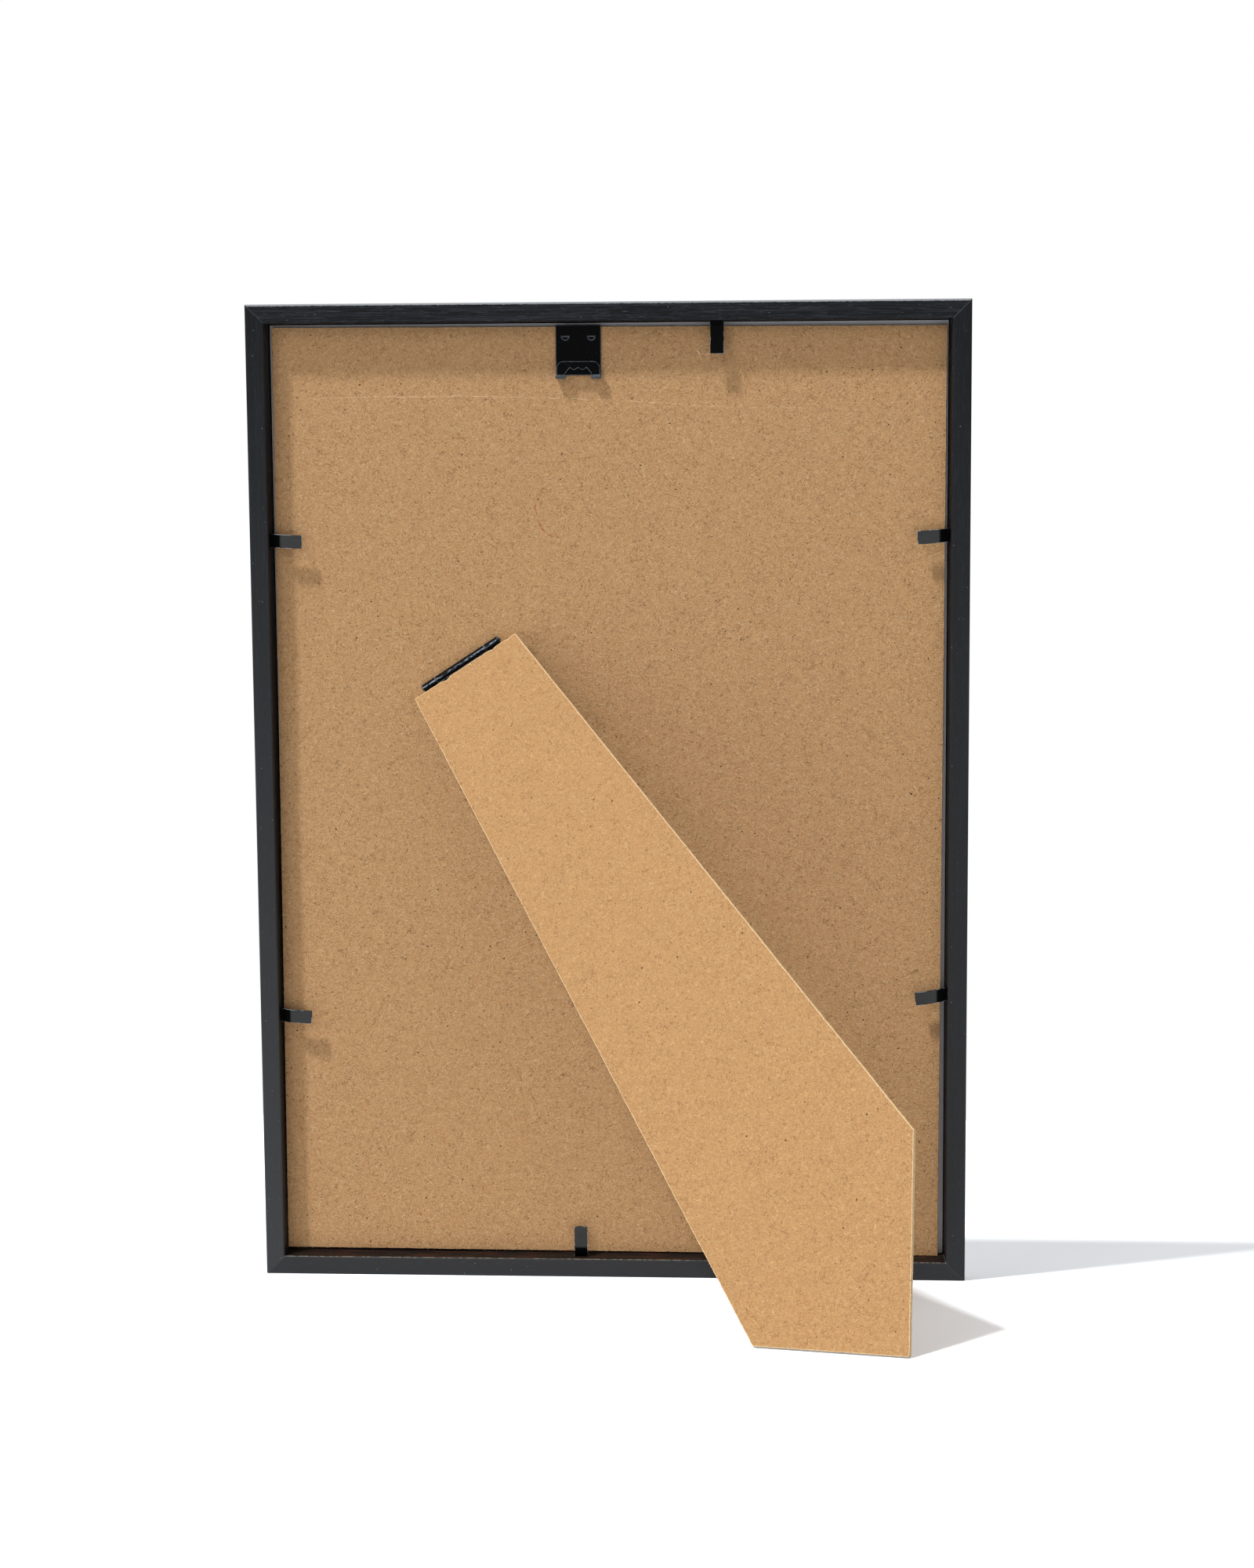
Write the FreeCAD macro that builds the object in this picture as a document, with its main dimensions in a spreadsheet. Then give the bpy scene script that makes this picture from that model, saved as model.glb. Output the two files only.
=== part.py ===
"""Easel back photo frame, standing upright on its opened strut, seen in its own frame of reference.

The frame is drawn lying in its back plane: X runs to the right as seen from behind, Y runs up the
back, Z points out of the back towards someone behind the frame, and the origin is the middle of the
back plane. One common placement then leans the whole assembly back until the strut's foot and the
bottom rail's rear arris both stand on the ground, with the origin at the middle of the footprint.
All lengths are millimetres and all angles are degrees.
"""
import FreeCAD, Part
import math
import os

import Sketcher
from FreeCAD import Placement, Rotation, Vector

# Driving dimensions. The frame holds an A4 sheet, so its rebate is a little over 210 by 297.
SIZES = {
    # moulding: an L section, mitred at the corners
    "outer_width": 224.0,
    "outer_height": 310.6,
    "moulding_depth": 11.0,
    "rebate_wall": 6.0,
    "lip_reach": 4.0,
    "lip_thickness": 2.2,
    "arris_radius": 0.6,
    # corner nail: a V of strip steel across each mitre, sunk under the back face
    "nail_setback": 3.4,
    "nail_leg": 2.6,
    "nail_rake": 1.4,
    "nail_sheet": 0.4,
    "nail_tall": 5.0,
    "nail_sunk": 1.5,
    # what lies in the rebate, from the front
    "glazing_thickness": 1.2,
    "glazing_play": 0.4,
    "insert_thickness": 0.3,
    "insert_play": 0.3,
    "board_thickness": 2.5,
    "board_play_across": 2.2,
    "board_play_up": 1.8,
    "board_side_gap": 0.9,
    "board_skew": 0.22,
    # flexible tabs that hold the board in
    "tab_width": 4.2,
    "tab_reach": 10.2,
    "tab_thickness": 0.5,
    "tab_above_board": 2.5,
    "tab_root": 4.5,
    "tab_gap": 0.05,
    "tab_tip_radius": 0.4,
    "tab_crank_start": 0.9,
    "tab_crank_run": 2.2,
    "tab_crank_rise": 0.8,
    # sawtooth hanger: one folded strip of steel
    "hanger_offset": -8.8,
    "hanger_overhang": 0.45,
    "hanger_width": 14.1,
    "hanger_tall": 16.65,
    "hanger_sheet": 0.6,
    "hanger_bend_radius": 1.05,
    "hanger_foot": 3.1,
    "hanger_flap_inset": 0.3,
    "hanger_flap_tall": 5.4,
    "hanger_flap_radius": 2.2,
    "hanger_window_tall": 3.4,
    "hanger_tooth_pitch": 2.6,
    "hanger_tooth_tall": 0.8,
    "lance_radius": 1.15,
    "lance_spacing": 8.1,
    "lance_from_top": 3.6,
    "lance_dent": 0.35,
    "prong_depth": 1.9,
    # hinge: two stamped leaves on one pin, turned on the board
    "hinge_angle": 33.1,
    "barrel_length": 28.6,
    "barrel_radius": 1.2,
    "barrel_lift": 0.05,
    "end_knuckle": 5.0,
    "knuckle_gap": 0.15,
    "leaf_sheet": 0.6,
    "leaf_gap": 0.15,
    "board_leaf_inset": 1.3,
    "board_leaf_length": 17.0,
    "strut_leaf_inset": 2.8,
    "strut_leaf_length": 30.0,
    "leaf_corner": 2.0,
    "leaf_prong_width": 2.0,
    "leaf_prong_margin": 4.0,
    "pin_radius": 0.6,
    "pin_clearance": 0.05,
    "pin_proud": 0.4,
    # strut: sizes across and along it are taken from the middle of the hinge pin
    "strut_thickness": 2.5,
    "strut_top_left": 17.8,
    "strut_top_right": 20.2,
    "strut_setback": 2.75,
    "strut_length": 239.8,
    "strut_heel": 21.5,
    "strut_toe": 13.25,
    "side_foot_length": 54.9,
    "side_foot_angle": 32.6,
    "strut_corner": 0.6,
    "strut_side_gap": 3.6,
    "strut_bottom_gap": 2.7,
    "strut_opening_angle": 33.0,
}

# Each tab: its side, its place along that side as a share of half the side, and its tilt in degrees.
TABS = {
    "left_upper": ("left", 0.527, -2.5),
    "left_lower": ("left", -0.453, -3.0),
    "right_upper": ("right", 0.533, 4.2),
    "right_lower": ("right", -0.402, 8.4),
    "top": ("top", 0.305, 0.0),
    "bottom": ("bottom", -0.0925, 0.0),
}

# The way from each side into the frame, as a turn about Z.
INWARD = {"left": 0.0, "bottom": 90.0, "right": 180.0, "top": -90.0}
SIDES = {"rail_top": "top", "rail_bottom": "bottom", "stile_left": "left", "stile_right": "right"}
CORNERS = {
    "top_left": (-1, 1),
    "top_right": (1, 1),
    "bottom_right": (1, -1),
    "bottom_left": (-1, -1),
}

doc = FreeCAD.newDocument("easel_back_frame")
sheet = doc.addObject("Spreadsheet::Sheet", "sizes")
for row, (alias, size) in enumerate(SIZES.items(), 1):
    sheet.set(f"A{row}", alias)
    sheet.set(f"B{row}", str(size))
    sheet.setAlias(f"B{row}", alias)
doc.recompute()

# Formulas over the sheet that several pieces share.
HALF_WIDTH = "(sizes.outer_width / 2)"
HALF_HEIGHT = "(sizes.outer_height / 2)"
REBATE_X = f"({HALF_WIDTH} - sizes.rebate_wall)"
REBATE_Y = f"({HALF_HEIGHT} - sizes.rebate_wall)"
FRONT = "(0 - sizes.moulding_depth)"
GLAZING_BACK = f"({FRONT} + sizes.lip_thickness + sizes.glazing_thickness)"
INSERT_BACK = f"({GLAZING_BACK} + sizes.insert_thickness)"
BOARD_BACK = f"({INSERT_BACK} + sizes.board_thickness)"
BOARD_WIDTH = f"(2 * {REBATE_X} - sizes.board_play_across)"
BOARD_HEIGHT = f"(2 * {REBATE_Y} - sizes.board_play_up)"
BOARD_X = f"({REBATE_X} - sizes.board_side_gap - {BOARD_HEIGHT} * sin(sizes.board_skew))"
TAB_LEVEL = f"({BOARD_BACK} + sizes.tab_above_board)"
AXIS_LIFT = "(sizes.barrel_radius + sizes.barrel_lift)"
LEAF_TOP = f"(sizes.leaf_sheet - {AXIS_LIFT})"
BOARD_LEAF_WIDTH = "(sizes.barrel_length - 2 * sizes.board_leaf_inset)"
STRUT_LEAF_WIDTH = "(sizes.barrel_length - 2 * sizes.strut_leaf_inset)"
STRUT_INNER = f"({LEAF_TOP} + sizes.leaf_gap + sizes.leaf_sheet)"
CLEAR_OF_BARREL = "(sizes.barrel_radius + sizes.knuckle_gap)"
HANGER_TOP = (
    f"(0 - {REBATE_Y} + {BOARD_HEIGHT} * cos(sizes.board_skew)"
    f" + ({BOARD_X} - sizes.hanger_offset) * sin(sizes.board_skew) + sizes.hanger_overhang)"
)


def number(formula):
    """Value of a formula over the sheet."""
    return float(sheet.evalExpression(formula))


def turned(along, across, turn, origin):
    """Pair of formulas for a point given in axes turned about an origin."""
    x, y = origin
    return (
        f"{x} + ({along}) * cos({turn}) - ({across}) * sin({turn})",
        f"{y} + ({along}) * sin({turn}) + ({across}) * cos({turn})",
    )


def new_body(label):
    """Empty body for one sub-part."""
    body = doc.addObject("PartDesign::Body", label)
    body.Label = label
    return body


def new_sketch(body, plane, level):
    """Sketch on one of the body's origin planes, lifted to a level."""
    sketch = body.newObject("Sketcher::SketchObject", "outline")
    support = next(item for item in body.Origin.OriginFeatures if item.Role == plane)
    sketch.AttachmentSupport = [(support, "")]
    sketch.MapMode = "FlatFace"
    sketch.setExpression(".AttachmentOffset.Base.z", level)
    return sketch


def hold(sketch, kind, geometry, point, formula):
    """Dimension from the sketch's origin to a point, bound to a formula."""
    at = sketch.addConstraint(Sketcher.Constraint(kind, -1, 1, geometry, point, number(formula)))
    sketch.setExpression(f"Constraints[{at}]", formula)


def draw_polygon(sketch, points):
    """Closed outline through points, each a pair of formulas."""
    corners = [Vector(number(x), number(y), 0) for x, y in points]
    first = sketch.GeometryCount
    for index, corner in enumerate(corners):
        following = corners[(index + 1) % len(corners)]
        sketch.addGeometry(Part.LineSegment(corner, following), False)
    for index, (x, y) in enumerate(points):
        following = first + (index + 1) % len(points)
        sketch.addConstraint(Sketcher.Constraint("Coincident", first + index, 2, following, 1))
        hold(sketch, "DistanceX", first + index, 1, x)
        hold(sketch, "DistanceY", first + index, 1, y)


def draw_circle(sketch, x, y, radius):
    """Circle whose centre and radius are formulas."""
    centre = Vector(number(x), number(y), 0)
    ring = sketch.addGeometry(Part.Circle(centre, Vector(0, 0, 1), number(radius)), False)
    hold(sketch, "DistanceX", ring, 3, x)
    hold(sketch, "DistanceY", ring, 3, y)
    at = sketch.addConstraint(Sketcher.Constraint("Radius", ring, number(radius)))
    sketch.setExpression(f"Constraints[{at}]", radius)


def draw_half_moon(sketch, x, y, radius):
    """Lower half of a disc whose centre and radius are formulas."""
    centre = Vector(number(x), number(y), 0)
    circle = Part.Circle(centre, Vector(0, 0, 1), number(radius))
    arc = sketch.addGeometry(Part.ArcOfCircle(circle, math.pi, 2 * math.pi), False)
    left = Vector(centre.x - number(radius), centre.y, 0)
    right = Vector(centre.x + number(radius), centre.y, 0)
    chord = sketch.addGeometry(Part.LineSegment(right, left), False)
    sketch.addConstraint(Sketcher.Constraint("Coincident", arc, 2, chord, 1))
    sketch.addConstraint(Sketcher.Constraint("Coincident", chord, 2, arc, 1))
    sketch.addConstraint(Sketcher.Constraint("Horizontal", chord))
    hold(sketch, "DistanceX", arc, 3, x)
    hold(sketch, "DistanceY", arc, 3, y)
    sketch.addConstraint(Sketcher.Constraint("PointOnObject", arc, 3, chord))
    at = sketch.addConstraint(Sketcher.Constraint("Radius", arc, number(radius)))
    sketch.setExpression(f"Constraints[{at}]", radius)


def pad(body, sketch, length):
    """Raise a sketch by a formula's length."""
    feature = body.newObject("PartDesign::Pad", "raised")
    feature.Profile = sketch
    feature.setExpression("Length", length)
    doc.recompute()
    return feature


def pocket(body, sketch, depth, upwards=False):
    """Sink a sketch by a formula's depth and make sure that it cuts."""
    before = body.Shape.Volume
    feature = body.newObject("PartDesign::Pocket", "sunk")
    feature.Profile = sketch
    feature.Reversed = upwards
    feature.setExpression("Length", depth)
    doc.recompute()
    if body.Shape.Volume >= before:
        raise RuntimeError(f"{body.Label}: a pocket cuts nothing")
    return feature


def round_edges(body, radius, chosen):
    """Fillet the edges of the body's tip that a test picks."""
    tip = body.Tip
    names = [f"Edge{at}" for at, edge in enumerate(tip.Shape.Edges, 1) if chosen(edge)]
    feature = body.newObject("PartDesign::Fillet", "rounded")
    feature.Base = (tip, names)
    feature.setExpression("Radius", radius)
    doc.recompute()
    return feature


def near(first, second):
    """True if two lengths agree to a small part of the sheet's thinnest piece."""
    return abs(first - second) < number("sizes.insert_thickness") / 100


def tab_origin(side, place_share):
    """Point on the rebate wall where a tab comes out, as a pair of formulas."""
    return {
        "left": (f"(0 - {REBATE_X})", f"({place_share} * {HALF_HEIGHT})"),
        "right": (REBATE_X, f"({place_share} * {HALF_HEIGHT})"),
        "top": (f"({place_share} * {HALF_WIDTH})", REBATE_Y),
        "bottom": (f"({place_share} * {HALF_WIDTH})", f"(0 - {REBATE_Y})"),
    }[side]


def root_end(tilt):
    """How far a tab's fixed root stands out of the wall, so that its bend line clears the wall."""
    return f"(sizes.tab_width / 2 * sin({abs(tilt)}))"


def bend_at(tilt):
    """Distance of a tab's bend line from the wall."""
    return f"({root_end(tilt)} + sizes.tab_gap + sizes.tab_thickness / 2)"


def mitred(side, outer, inner):
    """Trapezoid along one side of the frame, between two insets from the outer edge."""
    far_x, far_y = f"({HALF_WIDTH} - {outer})", f"({HALF_HEIGHT} - {outer})"
    near_x, near_y = f"({HALF_WIDTH} - {inner})", f"({HALF_HEIGHT} - {inner})"
    less_far_x, less_far_y = f"(0 - {far_x})", f"(0 - {far_y})"
    less_near_x, less_near_y = f"(0 - {near_x})", f"(0 - {near_y})"
    return {
        "top": [(less_far_x, far_y), (less_near_x, near_y), (near_x, near_y), (far_x, far_y)],
        "bottom": [
            (less_far_x, less_far_y),
            (far_x, less_far_y),
            (near_x, less_near_y),
            (less_near_x, less_near_y),
        ],
        "left": [
            (less_far_x, less_far_y),
            (less_near_x, less_near_y),
            (less_near_x, near_y),
            (less_far_x, far_y),
        ],
        "right": [(far_x, less_far_y), (far_x, far_y), (near_x, near_y), (near_x, less_near_y)],
    }[side]


def nail_outline(corner):
    """V of a corner nail, its point on the mitre, as six points."""
    right, up = CORNERS[corner]
    turn = math.degrees(math.atan2(-up, -right))
    origin = (f"({right} * {HALF_WIDTH})", f"({up} * {HALF_HEIGHT})")
    back = "sizes.nail_setback"
    legs = "sizes.nail_setback + sizes.nail_rake"
    shape = [
        (back, "0"),
        (legs, "0 - sizes.nail_leg"),
        (f"{legs} + sizes.nail_sheet", "0 - sizes.nail_leg"),
        (f"{back} + sizes.nail_sheet", "0"),
        (f"{legs} + sizes.nail_sheet", "sizes.nail_leg"),
        (legs, "sizes.nail_leg"),
    ]
    return [turned(along, across, turn, origin) for along, across in shape]


def make_moulding(label, side):
    """One side of the frame: wall, front lip, eased arrises, tab slots and corner nail seats."""
    body = new_body(label)
    sketch = new_sketch(body, "XY_Plane", FRONT)
    draw_polygon(sketch, mitred(side, "0", "sizes.rebate_wall"))
    pad(body, sketch, "sizes.moulding_depth")
    sketch = new_sketch(body, "XY_Plane", FRONT)
    draw_polygon(sketch, mitred(side, "sizes.rebate_wall", "(sizes.rebate_wall + sizes.lip_reach)"))
    pad(body, sketch, "sizes.lip_thickness")

    upright = side in ("left", "right")
    front = number(FRONT)

    def is_arris(edge):
        """Long edges at the back and front faces, apart from the rebate's own inside corner."""
        first, last = edge.Vertexes[0].Point, edge.Vertexes[-1].Point
        run = last - first
        long_way = abs(run.y) if upright else abs(run.x)
        flat = near(first.z, last.z) and (near(first.x, last.x) if upright else near(first.y, last.y))
        return flat and long_way > run.Length / 2 and (near(first.z, 0) or near(first.z, front))

    round_edges(body, "sizes.arris_radius", is_arris)
    for tab_side, place_share, tilt in TABS.values():
        if tab_side != side:
            continue
        turn = INWARD[side] + tilt
        origin = tab_origin(side, place_share)
        sketch = new_sketch(body, "XY_Plane", f"{TAB_LEVEL} - sizes.tab_thickness / 2")
        half = "sizes.tab_width / 2"
        shape = [
            ("0 - sizes.tab_root", f"0 - {half}"),
            ("sizes.tab_root", f"0 - {half}"),
            ("sizes.tab_root", half),
            ("0 - sizes.tab_root", half),
        ]
        draw_polygon(sketch, [turned(along, across, turn, origin) for along, across in shape])
        pocket(body, sketch, "sizes.tab_thickness", upwards=True)
    for corner, (right, up) in CORNERS.items():
        if (right == 1 and side == "left") or (right == -1 and side == "right"):
            continue
        if (up == 1 and side == "bottom") or (up == -1 and side == "top"):
            continue
        sketch = new_sketch(body, "XY_Plane", "0 - sizes.nail_sunk")
        draw_polygon(sketch, nail_outline(corner))
        pocket(body, sketch, "sizes.nail_tall")
    return body


def make_corner_nail(label, corner):
    """V nail that holds one mitre together."""
    body = new_body(label)
    sketch = new_sketch(body, "XY_Plane", "0 - sizes.nail_sunk - sizes.nail_tall")
    draw_polygon(sketch, nail_outline(corner))
    pad(body, sketch, "sizes.nail_tall")
    return body


def make_layer(label, play, thickness, level):
    """Flat sheet that stands on the bottom rail inside the rebate."""
    box = doc.addObject("Part::Box", label)
    box.Label = label
    box.setExpression("Length", f"2 * {REBATE_X} - 2 * {play}")
    box.setExpression("Width", f"2 * {REBATE_Y} - {play}")
    box.setExpression("Height", thickness)
    return box, Vector(number(f"{play} - {REBATE_X}"), -number(REBATE_Y), number(level))


def leaf_prongs(width, length):
    """Places of a leaf's prongs in the hinge's own axes, as pairs of formulas."""
    side = f"({width} / 2 - sizes.leaf_prong_margin)"
    high = f"(0 - {CLEAR_OF_BARREL} - sizes.leaf_prong_margin)"
    low = f"(sizes.leaf_prong_margin - {length})"
    return [(f"(0 - {side})", high), (side, high), ("0", low)]


def prong_corners(place):
    """Slot of one prong around its place."""
    x, y = place
    wide, thin = "sizes.leaf_prong_width / 2", "sizes.leaf_sheet / 2"
    return [
        (f"{x} - {wide}", f"{y} - {thin}"),
        (f"{x} + {wide}", f"{y} - {thin}"),
        (f"{x} + {wide}", f"{y} + {thin}"),
        (f"{x} - {wide}", f"{y} + {thin}"),
    ]


def hinge_origin():
    """Middle of the hinge on the board: the folded strut's foot keeps its gaps to the rebate."""
    turn = "sizes.hinge_angle"
    x = (
        f"({REBATE_X} - sizes.strut_side_gap"
        f" - sizes.strut_heel * cos({turn}) - sizes.strut_length * sin({turn}))"
    )
    y = (
        f"(sizes.strut_bottom_gap - {REBATE_Y}"
        f" - sizes.strut_heel * sin({turn}) + sizes.strut_length * cos({turn}))"
    )
    return x, y


def lance_places():
    """Centres of the hanger's two lanced half moons."""
    y = f"({HANGER_TOP} - sizes.lance_from_top)"
    reach = "sizes.lance_spacing / 2"
    return [(f"(sizes.hanger_offset - {reach})", y), (f"(sizes.hanger_offset + {reach})", y)]


def make_backing_board(label):
    """Fibreboard back, a touch askew in its rebate, with the seats of all prongs."""
    body = new_body(label)
    corner = (BOARD_X, f"(0 - {REBATE_Y})")
    turn = "(0 - sizes.board_skew)"
    shape = [
        ("0", "0"),
        ("0", BOARD_HEIGHT),
        (f"0 - {BOARD_WIDTH}", BOARD_HEIGHT),
        (f"0 - {BOARD_WIDTH}", "0"),
    ]
    sketch = new_sketch(body, "XY_Plane", INSERT_BACK)
    draw_polygon(sketch, [turned(along, across, turn, corner) for along, across in shape])
    pad(body, sketch, "sizes.board_thickness")
    for x, y in lance_places():
        sketch = new_sketch(body, "XY_Plane", BOARD_BACK)
        draw_half_moon(sketch, x, y, "sizes.lance_radius")
        pocket(body, sketch, "sizes.prong_depth")
    origin = hinge_origin()
    for place in leaf_prongs(BOARD_LEAF_WIDTH, "sizes.board_leaf_length"):
        sketch = new_sketch(body, "XY_Plane", BOARD_BACK)
        slot = prong_corners(place)
        draw_polygon(sketch, [turned(x, y, "sizes.hinge_angle", origin) for x, y in slot])
        pocket(body, sketch, "sizes.prong_depth")
    return body


def make_tab_root(label, tilt):
    """Fixed end of a tab, driven into its slot in the rebate wall."""
    box = doc.addObject("Part::Box", label)
    box.Label = label
    box.setExpression("Length", f"sizes.tab_root + {root_end(tilt)}")
    box.setExpression("Width", "sizes.tab_width")
    box.setExpression("Height", "sizes.tab_thickness")
    return box


def make_tab_blade(label, tilt):
    """Free end of a tab, cranked away from the board, turning about its rounded end."""
    body = new_body(label)
    half, bend = "sizes.tab_width / 2", bend_at(tilt)
    low, high = "(0 - sizes.tab_thickness / 2)", "(sizes.tab_thickness / 2)"
    start = f"({bend} + sizes.tab_crank_start)"
    end = f"({start} + sizes.tab_crank_run)"
    rise = "sizes.tab_crank_rise"
    sketch = new_sketch(body, "XZ_Plane", f"0 - {half}")
    shape = [
        (bend, low),
        (start, low),
        (end, f"{low} + {rise}"),
        ("sizes.tab_reach", f"{low} + {rise}"),
        ("sizes.tab_reach", f"{high} + {rise}"),
        (end, f"{high} + {rise}"),
        (start, high),
        (bend, high),
    ]
    draw_polygon(sketch, shape)
    pad(body, sketch, "sizes.tab_width")
    reach = number("sizes.tab_reach")

    def is_tip(edge):
        """Upright edges at the tip."""
        return all(near(vertex.X, reach) for vertex in edge.Vertexes) and near(
            edge.Length, number("sizes.tab_thickness")
        )

    round_edges(body, "sizes.tab_tip_radius", is_tip)
    sketch = new_sketch(body, "XZ_Plane", f"0 - {half}")
    draw_circle(sketch, bend, "0", "sizes.tab_thickness / 2")
    roll = pad(body, sketch, "sizes.tab_width")
    if not near(body.Shape.BoundBox.YLength, number("sizes.tab_width")):
        roll.Reversed = True
        doc.recompute()
    return body


def make_hanger(label):
    """Sawtooth hanger: plate on the board, two folded feet and a flap with a toothed window."""
    body = new_body(label)
    middle = "sizes.hanger_offset"
    half = "sizes.hanger_width / 2"
    bottom = f"({HANGER_TOP} - sizes.hanger_tall + sizes.hanger_bend_radius)"
    left, right = f"({middle} - {half})", f"({middle} + {half})"
    sketch = new_sketch(body, "XY_Plane", BOARD_BACK)
    draw_polygon(sketch, [(left, bottom), (right, bottom), (right, HANGER_TOP), (left, HANGER_TOP)])
    pad(body, sketch, "sizes.hanger_sheet")
    for x, y in lance_places():
        sketch = new_sketch(body, "XY_Plane", f"{BOARD_BACK} + sizes.hanger_sheet")
        draw_half_moon(sketch, x, y, "sizes.lance_radius")
        pocket(body, sketch, "sizes.lance_dent")
        sketch = new_sketch(body, "XY_Plane", f"{BOARD_BACK} - sizes.prong_depth")
        draw_half_moon(sketch, x, y, "sizes.lance_radius")
        pad(body, sketch, "sizes.prong_depth")

    bend_level = f"({BOARD_BACK} + sizes.hanger_bend_radius)"
    flap_level = f"({BOARD_BACK} + 2 * sizes.hanger_bend_radius - sizes.hanger_sheet)"
    inner = "(sizes.hanger_bend_radius - sizes.hanger_sheet)"
    inset = "sizes.hanger_flap_inset"
    for foot_left in (left, f"({right} - sizes.hanger_foot)"):
        sketch = new_sketch(body, "YZ_Plane", foot_left)
        draw_circle(sketch, bottom, bend_level, "sizes.hanger_bend_radius")
        draw_circle(sketch, bottom, bend_level, inner)
        pad(body, sketch, "sizes.hanger_foot")
    # only the lower half of each ring stays, as the fold between plate and flap
    sketch = new_sketch(body, "YZ_Plane", left)
    above = f"({bottom} + 2 * sizes.hanger_bend_radius)"
    low, high = f"({BOARD_BACK} + sizes.hanger_sheet)", f"({flap_level} + sizes.hanger_sheet)"
    draw_polygon(sketch, [(bottom, low), (above, low), (above, high), (bottom, high)])
    pocket(body, sketch, "sizes.hanger_width", upwards=True)

    flap_top = f"({bottom} - sizes.hanger_bend_radius + sizes.hanger_flap_tall)"
    flap_left, flap_right = f"({left} + {inset})", f"({right} - {inset})"
    foot_right, foot_left = f"({left} + sizes.hanger_foot)", f"({right} - sizes.hanger_foot)"
    peak = f"({bottom} + sizes.hanger_window_tall - sizes.hanger_bend_radius)"
    valley = f"({peak} - sizes.hanger_tooth_tall)"
    pitch = "sizes.hanger_tooth_pitch"
    teeth = []
    for step, height in enumerate((peak, valley, peak, valley, peak)):
        teeth.append((f"({middle} + ({step} / 2 - 1) * {pitch})", height))
    sketch = new_sketch(body, "XY_Plane", flap_level)
    window_end = f"({valley} - sizes.hanger_tooth_tall)"
    shape = [(flap_left, bottom), (foot_right, bottom), (foot_right, window_end)]
    shape += teeth
    shape += [(foot_left, window_end), (foot_left, bottom), (flap_right, bottom)]
    shape += [(flap_right, flap_top), (flap_left, flap_top)]
    draw_polygon(sketch, shape)
    pad(body, sketch, "sizes.hanger_sheet")
    top = number(flap_top)
    level = number(flap_level)
    ends = (number(flap_left), number(flap_right))

    def is_flap_corner(edge):
        """Upright edges at the flap's two upper corners."""
        point = edge.CenterOfMass
        beside = near(point.x, ends[0]) or near(point.x, ends[1])
        return near(point.y, top) and beside and point.z > level

    round_edges(body, "sizes.hanger_flap_radius", is_flap_corner)
    return body


def knuckle_spans():
    """Start and length of the two end knuckles and the middle one, along the pin."""
    start = "(0 - sizes.barrel_length / 2)"
    end = "sizes.end_knuckle"
    inner = f"({start} + {end} + sizes.knuckle_gap)"
    last = "(sizes.barrel_length / 2 - sizes.end_knuckle)"
    middle = "(sizes.barrel_length - 2 * sizes.end_knuckle - 2 * sizes.knuckle_gap)"
    return [(start, end), (last, end)], [(inner, middle)]


def make_leaf(label, width, length, level, spans, others, prongs_down):
    """Hinge leaf in the hinge's own axes: plate, rolled knuckles around the pin, and prongs."""
    body = new_body(label)
    half = f"({width} / 2)"
    sketch = new_sketch(body, "XY_Plane", level)
    low, high = f"(0 - {length})", "0"
    less_half = f"(0 - {half})"
    draw_polygon(sketch, [(less_half, low), (half, low), (half, high), (less_half, high)])
    pad(body, sketch, "sizes.leaf_sheet")
    bottom = number(low)

    def is_far_corner(edge):
        """Upright edges at the end of the plate away from the pin."""
        return all(near(vertex.Y, bottom) for vertex in edge.Vertexes) and near(
            edge.Length, number("sizes.leaf_sheet")
        )

    round_edges(body, "sizes.leaf_corner", is_far_corner)
    reach = CLEAR_OF_BARREL
    for start, span in spans:
        sketch = new_sketch(body, "YZ_Plane", start)
        draw_circle(sketch, "0", "0", "sizes.barrel_radius")
        pad(body, sketch, span)
    sketch = new_sketch(body, "YZ_Plane", "(0 - sizes.barrel_length)")
    draw_circle(sketch, "0", "0", "(sizes.pin_radius + sizes.pin_clearance)")
    pocket(body, sketch, "(2 * sizes.barrel_length)", upwards=True)
    # the plate is cut back beside the other leaf's knuckles, with the gap at both ends of each
    for start, span in others:
        first = f"({start} - sizes.knuckle_gap)"
        last = f"({start} + {span} + sizes.knuckle_gap)"
        sketch = new_sketch(body, "XY_Plane", f"(0 - 2 * {reach})")
        shape = [(first, f"(0 - {reach})"), (last, f"(0 - {reach})"), (last, reach), (first, reach)]
        draw_polygon(sketch, shape)
        pocket(body, sketch, f"(4 * {reach})", upwards=True)
    for place in leaf_prongs(width, length):
        start = f"({level} - sizes.prong_depth)" if prongs_down else f"({level} + sizes.leaf_sheet)"
        sketch = new_sketch(body, "XY_Plane", start)
        draw_polygon(sketch, prong_corners(place))
        pad(body, sketch, "sizes.prong_depth")
    return body


def strut_outline():
    """Strut's five corners in the hinge's axes, from the top left round to the toe."""
    top = "(0 - sizes.strut_setback)"
    heel = "(0 - sizes.strut_length)"
    side_x = "(sizes.strut_heel + sizes.side_foot_length * sin(sizes.side_foot_angle))"
    side_y = f"({heel} + sizes.side_foot_length * cos(sizes.side_foot_angle))"
    return [
        ("(0 - sizes.strut_top_left)", top),
        ("(0 - sizes.strut_toe)", "(0 - sizes.toe_length)"),
        ("sizes.strut_heel", heel),
        (side_x, side_y),
        ("sizes.strut_top_right", top),
    ]


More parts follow.
